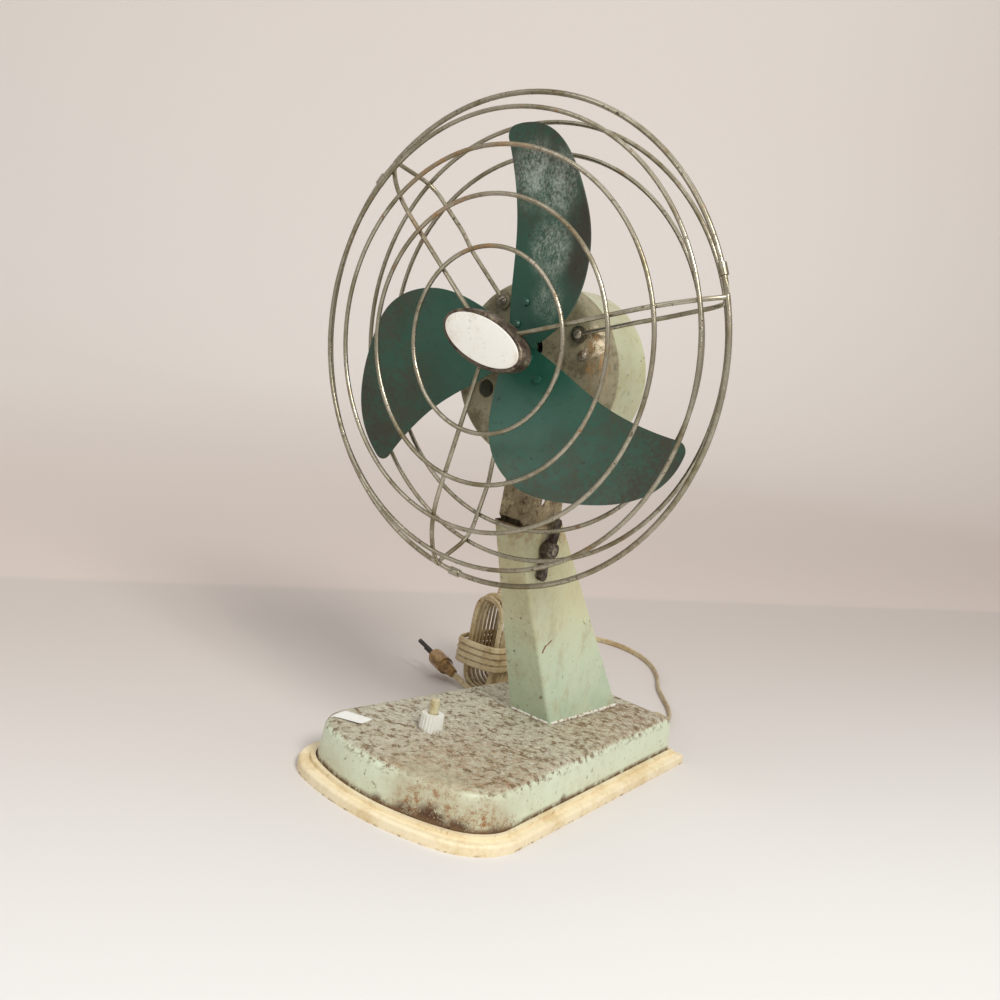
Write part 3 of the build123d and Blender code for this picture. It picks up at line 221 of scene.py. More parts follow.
def layerMask(tree, place, normal, layer):
    vector = place
    if "stretch" in layer:
        mapping = addNode(tree, "ShaderNodeMapping", {"Vector": place, "Scale": layer["stretch"]})
        vector = mapping.outputs[0]
    mask = groupNode(tree, patchGroup, {
        "Vector": vector, "Scale": layer.get("scale", 30.0), "Amount": layer.get("amount", 0.4),
        "Softness": layer.get("softness", 0.05), "Breakup": layer.get("breakup", 0.35),
        "Seed": layer.get("seed", 0.0)})
    for axis, start, end in layer.get("zones", ()):
        zone = groupNode(tree, zoneGroup, {"Vector": place, "Axis": axis, "Start": start, "End": end})
        mask = mathNode(tree, "MULTIPLY", mask, zone)
    for axis, start, end in layer.get("facing", ()):
        zone = groupNode(tree, zoneGroup, {"Vector": normal, "Axis": axis, "Start": start, "End": end})
        mask = mathNode(tree, "MULTIPLY", mask, zone)
    spots = None
    for centre, radius, fade in layer.get("spots", ()):
        spot = groupNode(tree, spotGroup, {"Vector": place, "Centre": centre, "Radius": radius, "Fade": fade})
        spots = spot if spots is None else mathNode(tree, "MAXIMUM", spots, spot)
    if spots is not None:
        mask = mathNode(tree, "MULTIPLY", mask, spots)
    for centre, radius, fade in layer.get("beyond", ()):
        inside = groupNode(tree, spotGroup, {"Vector": place, "Centre": centre, "Radius": radius, "Fade": fade})
        mask = mathNode(tree, "MULTIPLY", mask, mathNode(tree, "SUBTRACT", 1.0, inside))
    return mathNode(tree, "MULTIPLY", mask, layer.get("strength", 1.0), clamp=True)


def makeFinish(name, look):
    # a finish is a base colour and layers laid over it, each with its own mask, colour, gloss and height
    material = bpy.data.materials.new(name)
    material.use_nodes = True
    tree = material.node_tree
    shader = tree.nodes["Principled BSDF"]
    coordinates = tree.nodes.new("ShaderNodeTexCoord")
    place, normal = coordinates.outputs["Object"], coordinates.outputs["Normal"]
    tint = addNode(tree, "ShaderNodeTexNoise",
                   {"Vector": place, "Scale": look.get("tintScale", 22.0), "Detail": 4.0})
    darker = [channel * look.get("tintDepth", 0.86) for channel in look["colour"]]
    colour = mixColour(tree, tint.outputs[0], (*darker, 1), (*look["colour"], 1))
    grain = addNode(tree, "ShaderNodeTexNoise", {"Vector": place, "Scale": look.get("grainScale", 900.0),
                                                 "Detail": 3.0})
    rough = look["rough"]
    roughness = addNode(tree, "ShaderNodeMapRange", {"Value": grain.outputs[0], "To Min": rough - 0.06,
                                                     "To Max": rough + 0.06}).outputs[0]
    metallic = None
    height = mathNode(tree, "MULTIPLY", grain.outputs[0], look.get("grainHeight", 0.12))
    for layer in look.get("layers", ()):
        mask = layerMask(tree, place, normal, layer)
        colour = mixColour(tree, mask, colour, (*layer["colour"], 1), layer.get("blend", "MIX"))
        if "rough" in layer:
            roughness = mixValue(tree, mask, roughness, layer["rough"])
        if "metal" in layer:
            below = look.get("metal", 0.0) if metallic is None else metallic
            metallic = mixValue(tree, mask, below, layer["metal"])
        if "height" in layer:
            height = mathNode(tree, "ADD", height, mathNode(tree, "MULTIPLY", mask, layer["height"]))
    for begin, finish, width, tone in look.get("scratches", ()):
        along = tuple(b - a for a, b in zip(begin, finish))
        mask = groupNode(tree, scratchGroup, {"Vector": place, "From": begin, "Along": along, "Width": width})
        colour = mixColour(tree, mask, colour, (*tone, 1))
        height = mathNode(tree, "SUBTRACT", height, mathNode(tree, "MULTIPLY", mask, 0.4))
    bump = addNode(tree, "ShaderNodeBump", {"Height": height, "Strength": look.get("bump", 0.25),
                                            "Distance": look.get("bumpDepth", 0.0006)})
    tree.links.new(colour, shader.inputs["Base Color"])
    tree.links.new(roughness, shader.inputs["Roughness"])
    tree.links.new(bump.outputs[0], shader.inputs["Normal"])
    if metallic is None:
        shader.inputs["Metallic"].default_value = look.get("metal", 0.0)
    else:
        tree.links.new(metallic, shader.inputs["Metallic"])
    shader.inputs["Coat Weight"].default_value = look.get("coat", 0.0)
    shader.inputs["Coat Roughness"].default_value = look.get("coatRough", 0.2)
    return material


# finishes, one dictionary each
rust = paint(136, 88, 48)
darkRust = paint(88, 62, 42)
up, front, side = (0, 0, 1), (0, -1, 0), (1, 0, 0)
topFace = (up, 0.0365, 0.0393)

def layer(colour, scale, amount, softness, seed, **more):
    # one coat over the base colour: how fine its patches are, how much they cover and how soft their edges are
    return {"colour": colour, "scale": scale, "amount": amount, "softness": softness, "seed": seed, **more}


finishLooks = {
    "shellGreen": {
        "colour": paint(212, 220, 193), "rough": 0.42, "tintScale": 14.0, "tintDepth": 0.92, "bump": 0.5,
        "coat": 0.15,
        "layers": [
            layer(paint(198, 200, 172), 20, 0.46, 0.14, 3, rough=0.5),
            layer(paint(188, 184, 152), 26, 0.48, 0.14, 6, rough=0.6,
                  zones=[(up, 0.03, 0.012), (side, 0.06, 0.0)], strength=0.8),
            layer(paint(188, 183, 158), 22, 1.1, 0.12, 1, breakup=0.5, rough=0.75, height=-0.2,
                  zones=[topFace]),
            layer(paint(160, 149, 120), 130, 0.42, 0.1, 7, breakup=0.6, rough=0.85, height=-0.4,
                  zones=[topFace]),
            layer(paint(132, 106, 72), 240, 0.28, 0.06, 8, breakup=0.55, rough=0.9, height=-0.6,
                  zones=[topFace]),
            layer(paint(150, 106, 58), 190, 0.42, 0.06, 11, breakup=0.6, rough=0.9,
                  zones=[(up, 0.0372, 0.0393), (side, -0.04, 0.02), (front, 0.02, 0.1)]),
            layer(paint(138, 106, 70), 170, 0.46, 0.07, 12, breakup=0.6, rough=0.9,
                  zones=[topFace, (side, 0.01, 0.028), (front, 0.02, -0.05)]),
            layer(paint(226, 223, 211), 420, 0.34, 0.05, 5, breakup=0.5, rough=0.8, height=0.3,
                  zones=[topFace, (front, 0.16, 0.06)]),
            layer(paint(214, 210, 196), 130, 0.34, 0.09, 13, breakup=0.7, rough=0.8, height=0.2,
                  zones=[topFace, (side, 0.03, -0.03)]),
            layer(paint(116, 92, 60), 190, 0.4, 0.03, 9, breakup=0.4, rough=0.9, height=-0.5,
                  zones=[(up, 0.031, 0.0375)]),
            layer(paint(182, 175, 145), 40, 0.75, 0.16, 15, rough=0.7,
                  spots=[((0.04, -0.16, 0.016), 0.02, 0.026), ((0.08, -0.14, 0.012), 0.014, 0.02)]),
            layer(paint(146, 100, 56), 220, 0.44, 0.04, 4, breakup=0.55, rough=0.95, height=-0.4,
                  spots=[((0.045, -0.16, 0.014), 0.014, 0.02), ((0.078, -0.142, 0.012), 0.01, 0.018),
                  ((0.089, -0.118, 0.01), 0.006, 0.012)]),
            layer(paint(80, 54, 34), 120, 0.62, 0.04, 2, breakup=0.6, rough=0.95, height=-0.5,
                  spots=[((0.03, -0.165, 0.008), 0.006, 0.009), ((0.048, -0.16, 0.01), 0.008, 0.01),
                  ((0.066, -0.152, 0.008), 0.006, 0.009), ((0.006, -0.168, 0.009), 0.003, 0.007),
                  ((0.084, -0.13, 0.01), 0.002, 0.008), ((0.078, -0.04, 0.012), 0.002, 0.005)]),
            layer(paint(112, 84, 54), 110, 0.62, 0.06, 10, breakup=0.5, rough=0.9, height=-0.3,
                  zones=[(up, 0.0155, 0.0112)]),
            layer(paint(110, 92, 62), 260, 0.22, 0.03, 14, rough=0.8),
        ],
        "scratches": [
            ((-0.045, -0.1495, 0.0365), (-0.022, -0.159, 0.0358), 0.0005, paint(58, 46, 32)),
            ((-0.052, -0.147, 0.0372), (-0.047, -0.149, 0.0368), 0.0004, paint(66, 52, 36)),
            ((0.052, -0.1545, 0.03), (0.06, -0.1505, 0.03), 0.0009, paint(168, 142, 108)),
        ],
    },
    "trayCream": {
        "colour": paint(240, 225, 190), "rough": 0.5, "tintScale": 18.0, "tintDepth": 0.93, "coat": 0.1,
        "layers": [
            layer(paint(214, 190, 142), 30, 0.42, 0.12, 21, rough=0.6),
            layer(paint(170, 140, 98), 300, 0.14, 0.03, 22, rough=0.85, height=-0.3),
            layer(paint(122, 92, 58), 120, 0.34, 0.07, 23, rough=0.85, zones=[(up, 0.002, 0.0004)]),
            layer(paint(176, 148, 104), 110, 0.24, 0.06, 24, rough=0.85, zones=[(up, 0.0084, 0.0094)]),
        ],
    },
    "neckMint": {
        "colour": paint(198, 208, 178), "rough": 0.42, "tintScale": 12.0, "tintDepth": 0.9, "bump": 0.35,
        "coat": 0.15,
        "layers": [
            layer(paint(200, 194, 154), 12, 0.62, 0.16, 31, rough=0.5, zones=[(up, 0.08, 0.15)]),
            layer(paint(182, 174, 134), 16, 0.75, 0.16, 38, zones=[(up, 0.12, 0.17)], strength=0.8),
            layer(paint(176, 194, 166), 18, 0.5, 0.14, 36, zones=[(up, 0.14, 0.05)]),
            layer(paint(164, 152, 112), 55, 0.34, 0.09, 32, rough=0.6, stretch=(1, 1, 0.6), strength=0.5),
            layer(paint(112, 92, 62), 230, 0.22, 0.03, 33, rough=0.8, height=-0.4, facing=[(side, 0.6, 0.2)]),
            layer(darkRust, 260, 0.16, 0.03, 39, rough=0.8, height=-0.4),
            layer(paint(86, 66, 42), 110, 0.95, 0.07, 35, rough=0.85, height=-0.3,
                  zones=[(up, 0.2015, 0.2045)]),
            layer(paint(150, 118, 78), 90, 0.5, 0.07, 34, rough=0.8, zones=[(up, 0.175, 0.203)], strength=0.7),
        ],
        "scratches": [
            ((0.0172, -0.0135, 0.1035), (0.0171, -0.0115, 0.1075), 0.001, paint(118, 78, 44)),
            ((0.0171, -0.0118, 0.107), (0.0169, -0.004, 0.1115), 0.0007, paint(128, 88, 52)),
        ],
    },
    "bracketTan": {
        "colour": paint(146, 130, 96), "rough": 0.5, "tintDepth": 0.8,
        "layers": [
            layer(paint(96, 80, 52), 50, 0.46, 0.1, 41, rough=0.7),
            layer(paint(182, 168, 130), 60, 0.32, 0.08, 42, rough=0.5),
            layer(paint(82, 56, 34), 150, 0.32, 0.05, 43, rough=0.9),
        ],
    },
    "coverOlive": {
        "colour": paint(138, 130, 102), "rough": 0.6, "tintDepth": 0.78,
        "layers": [
            layer(paint(158, 149, 120), 24, 0.46, 0.12, 51, rough=0.8),
            layer(paint(104, 94, 68), 40, 0.38, 0.08, 54, rough=0.7),
            layer(paint(66, 56, 40), 260, 0.24, 0.05, 56, rough=0.9),
            layer(paint(158, 122, 80), 150, 0.42, 0.06, 52, breakup=0.5, rough=0.9, height=0.3,
                  stretch=(1, 1, 0.45), spots=[((0.052, -0.08, 0.345), 0.006, 0.01),
                  ((0.056, -0.08, 0.33), 0.005, 0.008), ((0.06, -0.078, 0.316), 0.004, 0.007)]),
            layer(paint(226, 208, 176), 160, 0.44, 0.05, 53, rough=0.85,
                  spots=[((0.051, -0.08, 0.348), 0.006, 0.008)]),
        ],
    },
    "bellMint": {
        "colour": paint(190, 191, 157), "rough": 0.33, "tintScale": 14.0, "tintDepth": 0.92, "coat": 0.25,
        "layers": [
            layer(paint(176, 168, 124), 24, 0.42, 0.13, 61, rough=0.5),
            layer(paint(120, 96, 62), 170, 0.2, 0.04, 62, rough=0.8, height=-0.3),
            layer(paint(132, 104, 64), 60, 0.42, 0.08, 63, rough=0.8, zones=[(front, 0.0535, 0.06)]),
        ],
    },
    "bladeTeal": {
        "colour": paint(29, 84, 66), "rough": 0.38, "tintScale": 16.0, "tintDepth": 0.62,
        "layers": [
            layer(paint(46, 86, 70), 24, 0.34, 0.13, 71, rough=0.45, strength=0.6),
            layer(paint(54, 60, 44), 34, 0.52, 0.12, 73, breakup=0.55, rough=0.5,
                  beyond=[((0, -0.1, 0.334), 0.05, 0.05)]),
            layer(paint(52, 50, 38), 55, 0.46, 0.11, 75, breakup=0.55, rough=0.6,
                  beyond=[((0, -0.1, 0.334), 0.098, 0.035)]),
            layer(paint(46, 46, 36), 55, 0.66, 0.12, 77, breakup=0.5, rough=0.55,
                  spots=[((0.054, -0.114, 0.425), 0.01, 0.02), ((0.054, -0.112, 0.398), 0.008, 0.018)]),
            layer(paint(168, 178, 164), 70, 0.44, 0.14, 72, breakup=0.6, rough=0.42,
                  spots=[((-0.01, -0.099, 0.45), 0.008, 0.022), ((0.016, -0.103, 0.446), 0.01, 0.02),
                  ((0.02, -0.103, 0.404), 0.01, 0.018)]),
            layer(paint(140, 154, 138), 110, 0.44, 0.12, 76, breakup=0.6, rough=0.42,
                  spots=[((0.026, -0.104, 0.37), 0.006, 0.016)]),
            layer(paint(52, 42, 28), 260, 0.2, 0.04, 74, rough=0.85, height=0.3),
        ],
        "scratches": [
            ((0.0545, -0.101, 0.296), (0.05, -0.104, 0.276), 0.0007, paint(205, 212, 200)),
            ((0.05, -0.104, 0.287), (0.043, -0.106, 0.275), 0.0006, paint(190, 198, 184)),
            ((-0.006, -0.1, 0.402), (0.008, -0.102, 0.404), 0.0003, paint(130, 146, 130)),
        ],
    },
    "guardNickel": {
        "colour": paint(188, 182, 164), "rough": 0.22, "metal": 0.95, "tintScale": 40.0, "tintDepth": 0.66,
        "bump": 0.3,
        "layers": [
            layer(paint(120, 111, 84), 30, 0.42, 0.14, 81, breakup=0.3, rough=0.4, metal=0.85),
            layer(paint(72, 60, 40), 330, 0.26, 0.05, 84, rough=0.7, metal=0.4, height=0.3),
            layer(paint(156, 118, 74), 110, 0.46, 0.1, 82, breakup=0.6, rough=0.6, metal=0.4, height=0.3,
                  spots=[((-0.06, -0.135, 0.43), 0.02, 0.025), ((-0.01, -0.135, 0.466), 0.008, 0.014),
                  ((-0.02, -0.138, 0.4), 0.01, 0.014)]),
            layer(paint(140, 102, 62), 120, 0.2, 0.06, 85, rough=0.8, metal=0.3, height=0.3),
        ],
    },
    "badgeRim": {
        "colour": paint(92, 80, 66), "rough": 0.42, "metal": 0.5,
        "layers": [
            layer(paint(150, 138, 116), 110, 0.36, 0.08, 91, rough=0.4),
            layer(paint(58, 44, 34), 90, 0.44, 0.08, 92, rough=0.8),
        ],
    },
    "badgeWhite": {
        "colour": paint(236, 233, 224), "rough": 0.3, "coat": 0.3, "tintDepth": 0.95,
        "layers": [
            layer(paint(206, 190, 162), 60, 0.3, 0.09, 95, strength=0.6),
            layer(paint(130, 108, 84), 420, 0.19, 0.03, 96),
            layer(paint(190, 164, 128), 150, 0.6, 0.08, 97, beyond=[((0, -0.136, 0.336), 0.026, 0.012)],
                  strength=0.6),
        ],
    },
    "plainSteel": {
        "colour": paint(166, 160, 146), "rough": 0.36, "metal": 0.85,
        "layers": [
            layer(paint(110, 86, 58), 130, 0.4, 0.08, 101, rough=0.7, metal=0.2),
        ],
    },
    "coreSteel": {
        "colour": paint(114, 110, 106), "rough": 0.6, "metal": 0.6,
        "layers": [
            layer(paint(60, 56, 52), 900, 0.5, 0.05, 105, stretch=(0.05, 1, 0.05), rough=0.8, height=-0.5),
            layer(paint(122, 88, 60), 60, 0.36, 0.08, 106, rough=0.9, metal=0.1),
        ],
    },
    "castAlloy": {
        "colour": paint(160, 158, 153), "rough": 0.6, "metal": 0.7, "bump": 0.4,
        "layers": [
            layer(paint(108, 101, 88), 80, 0.42, 0.08, 110, rough=0.8),
        ],
    },
    "darkCasting": {
        "colour": paint(84, 72, 60), "rough": 0.45, "metal": 0.6, "bump": 0.5,
        "layers": [
            layer(paint(52, 42, 34), 120, 0.46, 0.08, 115, rough=0.7, height=-0.3),
            layer(paint(168, 158, 140), 150, 0.3, 0.07, 116, rough=0.35, metal=0.85),
        ],
    },
    "copperWire": {
        "colour": paint(160, 100, 60), "rough": 0.4, "metal": 0.7,
        "layers": [
            layer(paint(90, 60, 40), 700, 0.5, 0.06, 120, stretch=(0.04, 0.04, 1), rough=0.6, height=-0.6),
        ],
    },
    "bushBronze": {
        "colour": paint(172, 138, 84), "rough": 0.4, "metal": 0.85,
        "layers": [
            layer(paint(101, 80, 53), 160, 0.42, 0.08, 125, rough=0.7),
        ],
    },
    "ringWhite": {
        "colour": paint(228, 227, 218), "rough": 0.32, "coat": 0.25, "tintDepth": 0.94,
        "layers": [
            layer(paint(200, 196, 176), 120, 0.36, 0.12, 130, strength=0.7),
            layer(paint(150, 132, 100), 150, 0.5, 0.07, 131, zones=[(up, 0.044, 0.0405)]),
        ],
    },
    "plungerCream": {
        "colour": paint(206, 196, 158), "rough": 0.32, "coat": 0.3,
        "layers": [
            layer(paint(166, 148, 104), 140, 0.42, 0.1, 135),
        ],
    },
    "brownPhenolic": {
        "colour": paint(66, 44, 30), "rough": 0.35,
        "layers": [
            layer(paint(101, 78, 58), 90, 0.4, 0.1, 140),
        ],
    },
    "amberPlug": {
        "colour": paint(150, 116, 66), "rough": 0.34, "coat": 0.3,
        "layers": [
            layer(paint(176, 134, 76), 70, 0.44, 0.12, 145),
            layer(paint(78, 54, 30), 120, 0.38, 0.08, 146, rough=0.7),
        ],
    },
    "pinDark": {
        "colour": paint(50, 47, 45), "rough": 0.42, "metal": 0.5,
        "layers": [
            layer(paint(101, 90, 76), 200, 0.36, 0.06, 150),
        ],
    },
    "cordBeige": {
        "colour": paint(196, 179, 140), "rough": 0.42, "tintScale": 30.0, "tintDepth": 0.84,
        "layers": [
            layer(paint(160, 134, 92), 40, 0.44, 0.12, 155),
            layer(paint(96, 76, 50), 240, 0.26, 0.05, 156, rough=0.8),
        ],
    },
    "leadBrown": {
        "colour": paint(98, 70, 46), "rough": 0.6,
        "layers": [
            layer(paint(132, 104, 76), 120, 0.44, 0.08, 160),
        ],
    },
    "rubberBlack": {
        "colour": paint(46, 44, 42), "rough": 0.7,
        "layers": [
            layer(paint(88, 84, 76), 100, 0.42, 0.1, 165, rough=0.85),
        ],
    },
    "stickerWhite": {
        "colour": paint(238, 236, 230), "rough": 0.6, "tintDepth": 0.96,
        "layers": [
            layer(paint(205, 195, 172), 90, 0.34, 0.08, 170, strength=0.6),
        ],
    },
    "crackedFiller": {
        "colour": paint(226, 222, 208), "rough": 0.85, "tintDepth": 0.9,
        "layers": [
            layer(paint(140, 108, 74), 240, 0.42, 0.05, 175, rough=0.9, height=-0.6),
        ],
    },
}
finishes = {name: makeFinish(name, look) for name, look in finishLooks.items()}
print("finishes made:", len(finishes))

# CAD nodes with their finishes
nodeFinish = {
    "base_tray": "trayCream", "base_shell": "shellGreen", "base_posts": "plainSteel", "base_screws": "plainSteel",
    "switch_body": "brownPhenolic", "switch_ring_nut": "ringWhite", "switch_plunger": "plungerCream",
    "switch_spring": "plainSteel", "switch_terminals": "bushBronze", "terminal_block": "brownPhenolic",
    "cord_gland": "rubberBlack", "inner_cord": "cordBeige", "neck": "neckMint", "neck_foot": "plainSteel",
    "neck_screws": "plainSteel", "neck_rivets": "neckMint", "tilt_bolt": "plainSteel",
    "tilt_washers": "plainSteel", "wing_nut": "darkCasting", "neck_lead": "leadBrown", "mains_cord": "cordBeige",
    "cord_hank": "cordBeige", "cord_tie": "cordBeige", "plug_body": "amberPlug", "plug_pins": "pinDark",
    "head_bracket": "bracketTan", "saddle_screws": "plainSteel", "motor_front_cover": "coverOlive",
    "cover_screws": "plainSteel", "motor_bell": "bellMint", "stator_core": "coreSteel",
    "stator_coil": "copperWire", "shading_rings": "copperWire", "front_bearing_bridge": "castAlloy",
    "rear_bearing_bridge": "castAlloy", "front_bush": "bushBronze", "rear_bush": "bushBronze",
    "frame_screws": "plainSteel", "motor_lead": "leadBrown", "front_guard": "guardNickel",
    "back_guard": "guardNickel", "guard_screws": "plainSteel", "guard_clips": "guardNickel",
    "badge_cup": "badgeRim", "badge_face": "badgeWhite", "motor_shaft": "plainSteel", "rotor": "coreSteel",
    "shaft_collars": "plainSteel", "fan_hub": "bladeTeal", "blade_1": "bladeTeal", "blade_2": "bladeTeal",
    "blade_3": "bladeTeal", "blade_rivets": "bladeTeal", "hub_nut": "plainSteel",
}
creaseAngle = radians(32)
roundedEdges = {"wing_nut": 0.0011, "tilt_bolt": 0.0010, "neck_rivets": 0.0005, "blade_rivets": 0.0007,
                "hub_nut": 0.0006, "plug_body": 0.0008, "plug_pins": 0.0005, "saddle_screws": 0.0006}


def dressNode(name, finish):
    node = nodes[name]
    node.data.materials.clear()
    node.data.materials.append(finishes[finish])
    node.data.polygons.foreach_set("use_smooth", [True] * len(node.data.polygons))
    weld = node.modifiers.new("weld", "WELD")
    weld.merge_threshold = 0.000002
    if name in roundedEdges:
        soften = node.modifiers.new("roundedEdge", "BEVEL")
        soften.width = roundedEdges[name]
        soften.segments = 3
        soften.limit_method = "ANGLE"
        soften.angle_limit = creaseAngle
    split = node.modifiers.new("crease", "EDGE_SPLIT")
    split.split_angle = creaseAngle


for name, finish in nodeFinish.items():
    dressNode(name, finish)
print("nodes dressed:", len(nodeFinish))


# flat twin cord
cordLook = {"width": 0.0054, "thickness": 0.0028, "waist": 0.36, "sides": 20, "stepsPerPoint": 6}


def splineLine(points, steps):
    # the smooth line of a route, read from its own spline
    curve = bpy.data.curves.new("route", "CURVE")
    curve.dimensions = "3D"
    curve.resolution_u = steps
    spline = curve.splines.new("NURBS")
    spline.points.add(len(points) - 1)
    for point, place in zip(spline.points, points):
        point.co = (*place, 1)
    spline.order_u = 3
    spline.use_endpoint_u = True
    holder = bpy.data.objects.new("route", curve)
    scene.collection.objects.link(holder)
    mesh = bpy.data.meshes.new_from_object(holder)
    line = [vertex.co.copy() for vertex in mesh.vertices]
    bpy.data.objects.remove(holder)
    bpy.data.meshes.remove(mesh)
    return line


def turnedFrames(line, firstWide):
    # carries the cord's wide direction along the line without adding any twist
    frames = []
    wide = firstWide
    for index, place in enumerate(line):
        before = line[max(index - 1, 0)]
        after = line[min(index + 1, len(line) - 1)]
        heading = (after - before).normalized()
        wide = (wide - heading * wide.dot(heading)).normalized()
        frames.append((place, wide, heading.cross(wide)))
    return frames


def twinProfile(look):
    # two round cores side by side with a groove between them
    outline = []
    for index in range(look["sides"]):
        angle = 2 * pi * index / look["sides"]
        across = cos(angle)
        dip = 1 - look["waist"] * max(0.0, 1 - (across / 0.45) ** 2)
        outline.append((across * look["width"] / 2, sin(angle) * look["thickness"] / 2 * dip))
    return outline


def flatCord(name, points, firstWide, look=cordLook):
    line = splineLine(points, look["stepsPerPoint"])
    profile = twinProfile(look)
    form = bmesh.new()
    rings = []
    for place, wide, thick in turnedFrames(line, firstWide):
        rings.append([form.verts.new(place + wide * x + thick * y) for x, y in profile])
    for ring, following in zip(rings, rings[1:]):
        for index in range(len(profile)):
            beside = (index + 1) % len(profile)
            form.faces.new((ring[index], ring[beside], following[beside], following[index]))
    form.faces.new(rings[0][::-1])
    form.faces.new(rings[-1])
    bmesh.ops.recalc_face_normals(form, faces=form.faces)
    mesh = bpy.data.meshes.new(name)
    form.to_mesh(mesh)
    form.free()
    mesh.polygons.foreach_set("use_smooth", [True] * len(mesh.polygons))
    mesh.materials.append(finishes["cordBeige"])
    cord = bpy.data.objects.new(name, mesh)
    scene.collection.objects.link(cord)
    return cord, line


# the route's points are those of the part, in metres
floorZ = 0.0027
glandAt = (0.025, 0.023)
shellRear = 0.1405
glandLean = radians(5.0)
glandFace = shellRear - (glandAt[1] - 0.005) * tan(glandLean)


def glandPoint(reach):
    return (glandAt[0], glandFace + reach * cos(glandLean), glandAt[1] + reach * sin(glandLean))


hankLook = {
    "x": -0.122, "y": 0.102, "loops": 8, "pitch": 0.0058, "half": 0.017, "top": 0.072, "firstStep": 0.0066,
    "tallLoop": 5, "tallExtra": 0.018, "plugLean": radians(20.0), "plugStrand": 0.019, "exitRadius": 0.015,
    "cord": 0.005, "bends": 5,
}


def hankRunY(look, run):
    return look["y"] if run == 0 else look["y"] + look["firstStep"] + (run - 1) * look["pitch"] / 2


def hankPoints(look):
    # control points of the hank, from the plug to its far end on the floor
    half, middleZ = look["half"], floorZ + 0.0003 + look["half"]
    lean = look["plugLean"]
    bend = (look["x"] - half * sin(lean), look["y"], middleZ - half * cos(lean))
    points = [tuple(place + look["plugStrand"] * way for place, way in zip(bend, (-cos(lean), 0, sin(lean))))]
    ways = zip(bend, (-cos(lean), 0, sin(lean)))
    points.append(tuple(place + 0.4 * look["plugStrand"] * way for place, way in ways))
    step = pi / look["bends"]
    outer = half / cos(step / 2)
    firstTurn = (pi / 2 + lean) / 3
    firstOuter = half / cos(firstTurn / 2)
    for index in range(3):
        angle = -pi / 2 - lean + (index + 0.5) * firstTurn
        points.append((look["x"] + firstOuter * cos(angle), look["y"], middleZ + firstOuter * sin(angle)))
    for loop in range(look["loops"]):
        extra = look["tallExtra"] if loop == look["tallLoop"] else 0.0022 * sin(1.9 * loop)
        archZ = look["top"] + extra
        startY, endY, nextY = (hankRunY(look, 2 * loop + index) for index in range(3))
        points.append((look["x"] + half, startY, (middleZ + archZ) / 2))
        for index in range(look["bends"]):
            angle = (index + 0.5) * step
            share = (1 - cos(angle)) / 2
            points.append((look["x"] + outer * cos(angle), startY + (endY - startY) * share,
                           archZ + outer * sin(angle)))
        points.append((look["x"] - half, endY, (middleZ + archZ) / 2))
        if loop < look["loops"] - 1:
            for index in range(look["bends"]):
                angle = pi + (index + 0.5) * step
                share = (1 + cos(angle)) / 2
                points.append((look["x"] + outer * cos(angle), endY + (nextY - endY) * share,
                               middleZ + outer * sin(angle)))
    exitRadius = look["exitRadius"]
    turn = exitRadius * tan(pi / 8)
    points.append((look["x"] - half, endY, floorZ + exitRadius - turn))
    points.append((look["x"] - half, endY + exitRadius - turn, floorZ))
    points.append((look["x"] - half, endY + exitRadius + look["cord"], floorZ))
    return points


hankLine = hankPoints(hankLook)
hankEnd = hankLine[-1]
floorRoute = [
    glandPoint(-0.0029),
    glandPoint(0.032),
    (0.021, 0.204, 0.0105),
    (0.012, 0.232, floorZ),
    (-0.004, 0.256, floorZ + 0.0001),
    (-0.024, 0.278, floorZ),
    (-0.044, 0.301, floorZ),
    (-0.061, 0.330, floorZ),
    (-0.087, 0.360, floorZ),
    (-0.119, 0.379, floorZ),
    (-0.155, 0.380, floorZ),
    (-0.184, 0.361, floorZ),
    (-0.199, 0.329, floorZ),
    (-0.198, 0.299, floorZ),
    (-0.188, 0.268, floorZ),
    (-0.170, 0.240, floorZ),
    (-0.151, 0.215, floorZ),
    (hankEnd[0], hankEnd[1] + 0.024, floorZ),
]


def lineLength(line):
    return sum((after - before).length for before, after in zip(line, line[1:]))


# one cord from the gland, round on the floor, up and down through the hank and into the plug
cordPoints = floorRoute + hankLine[::-1]
mainsCord, mainsLine = flatCord("mainsCord", cordPoints, Vector((0, 0, 1)))
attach(mainsCord, "stand")
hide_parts("mains_cord", "cord_hank")
print("mains cord", round(lineLength(mainsLine), 3), "m")

tieLook = {"turns": 4, "pitch": 0.0058, "foot": 0.027, "corner": 0.0165, "clear": 0.0088}


def tiePoints(look, hank):
    sideX = hank["half"] + look["clear"]
    frontY = hank["y"] - look["clear"]
    rearY = hankRunY(hank, 2 * hank["loops"] - 1) + look["clear"]
    corners = ((-1, rearY), (-1, frontY), (1, frontY), (1, rearY))
    cut = look["corner"] * (1 - tan(pi / 8))
    points = [(hank["x"] + 0.004, rearY, look["foot"])]
    total = look["turns"] * 4
    for number in range(total):
        side, cornerY = corners[number % 4]
        inward = 1 if cornerY == frontY else -1
        before = look["foot"] + (number + 0.5 - 0.12) / 4 * look["pitch"]
        after = look["foot"] + (number + 0.5 + 0.12) / 4 * look["pitch"]
        alongX = (hank["x"] + side * (sideX - cut), cornerY)
        alongY = (hank["x"] + side * sideX, cornerY + inward * cut)
        first, second = (alongX, alongY) if number % 2 == 0 else (alongY, alongX)
        points.append((*first, before))
        points.append((*second, after))
    points.append((hank["x"] - 0.004, rearY, look["foot"] + look["turns"] * look["pitch"]))
    return points


cordWrap, wrapLine = flatCord("cordWrap", tiePoints(tieLook, hankLook), Vector((0, 0, 1)))
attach(cordWrap, "stand")
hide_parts("cord_tie")
print("cord round the hank", round(lineLength(wrapLine), 3), "m")

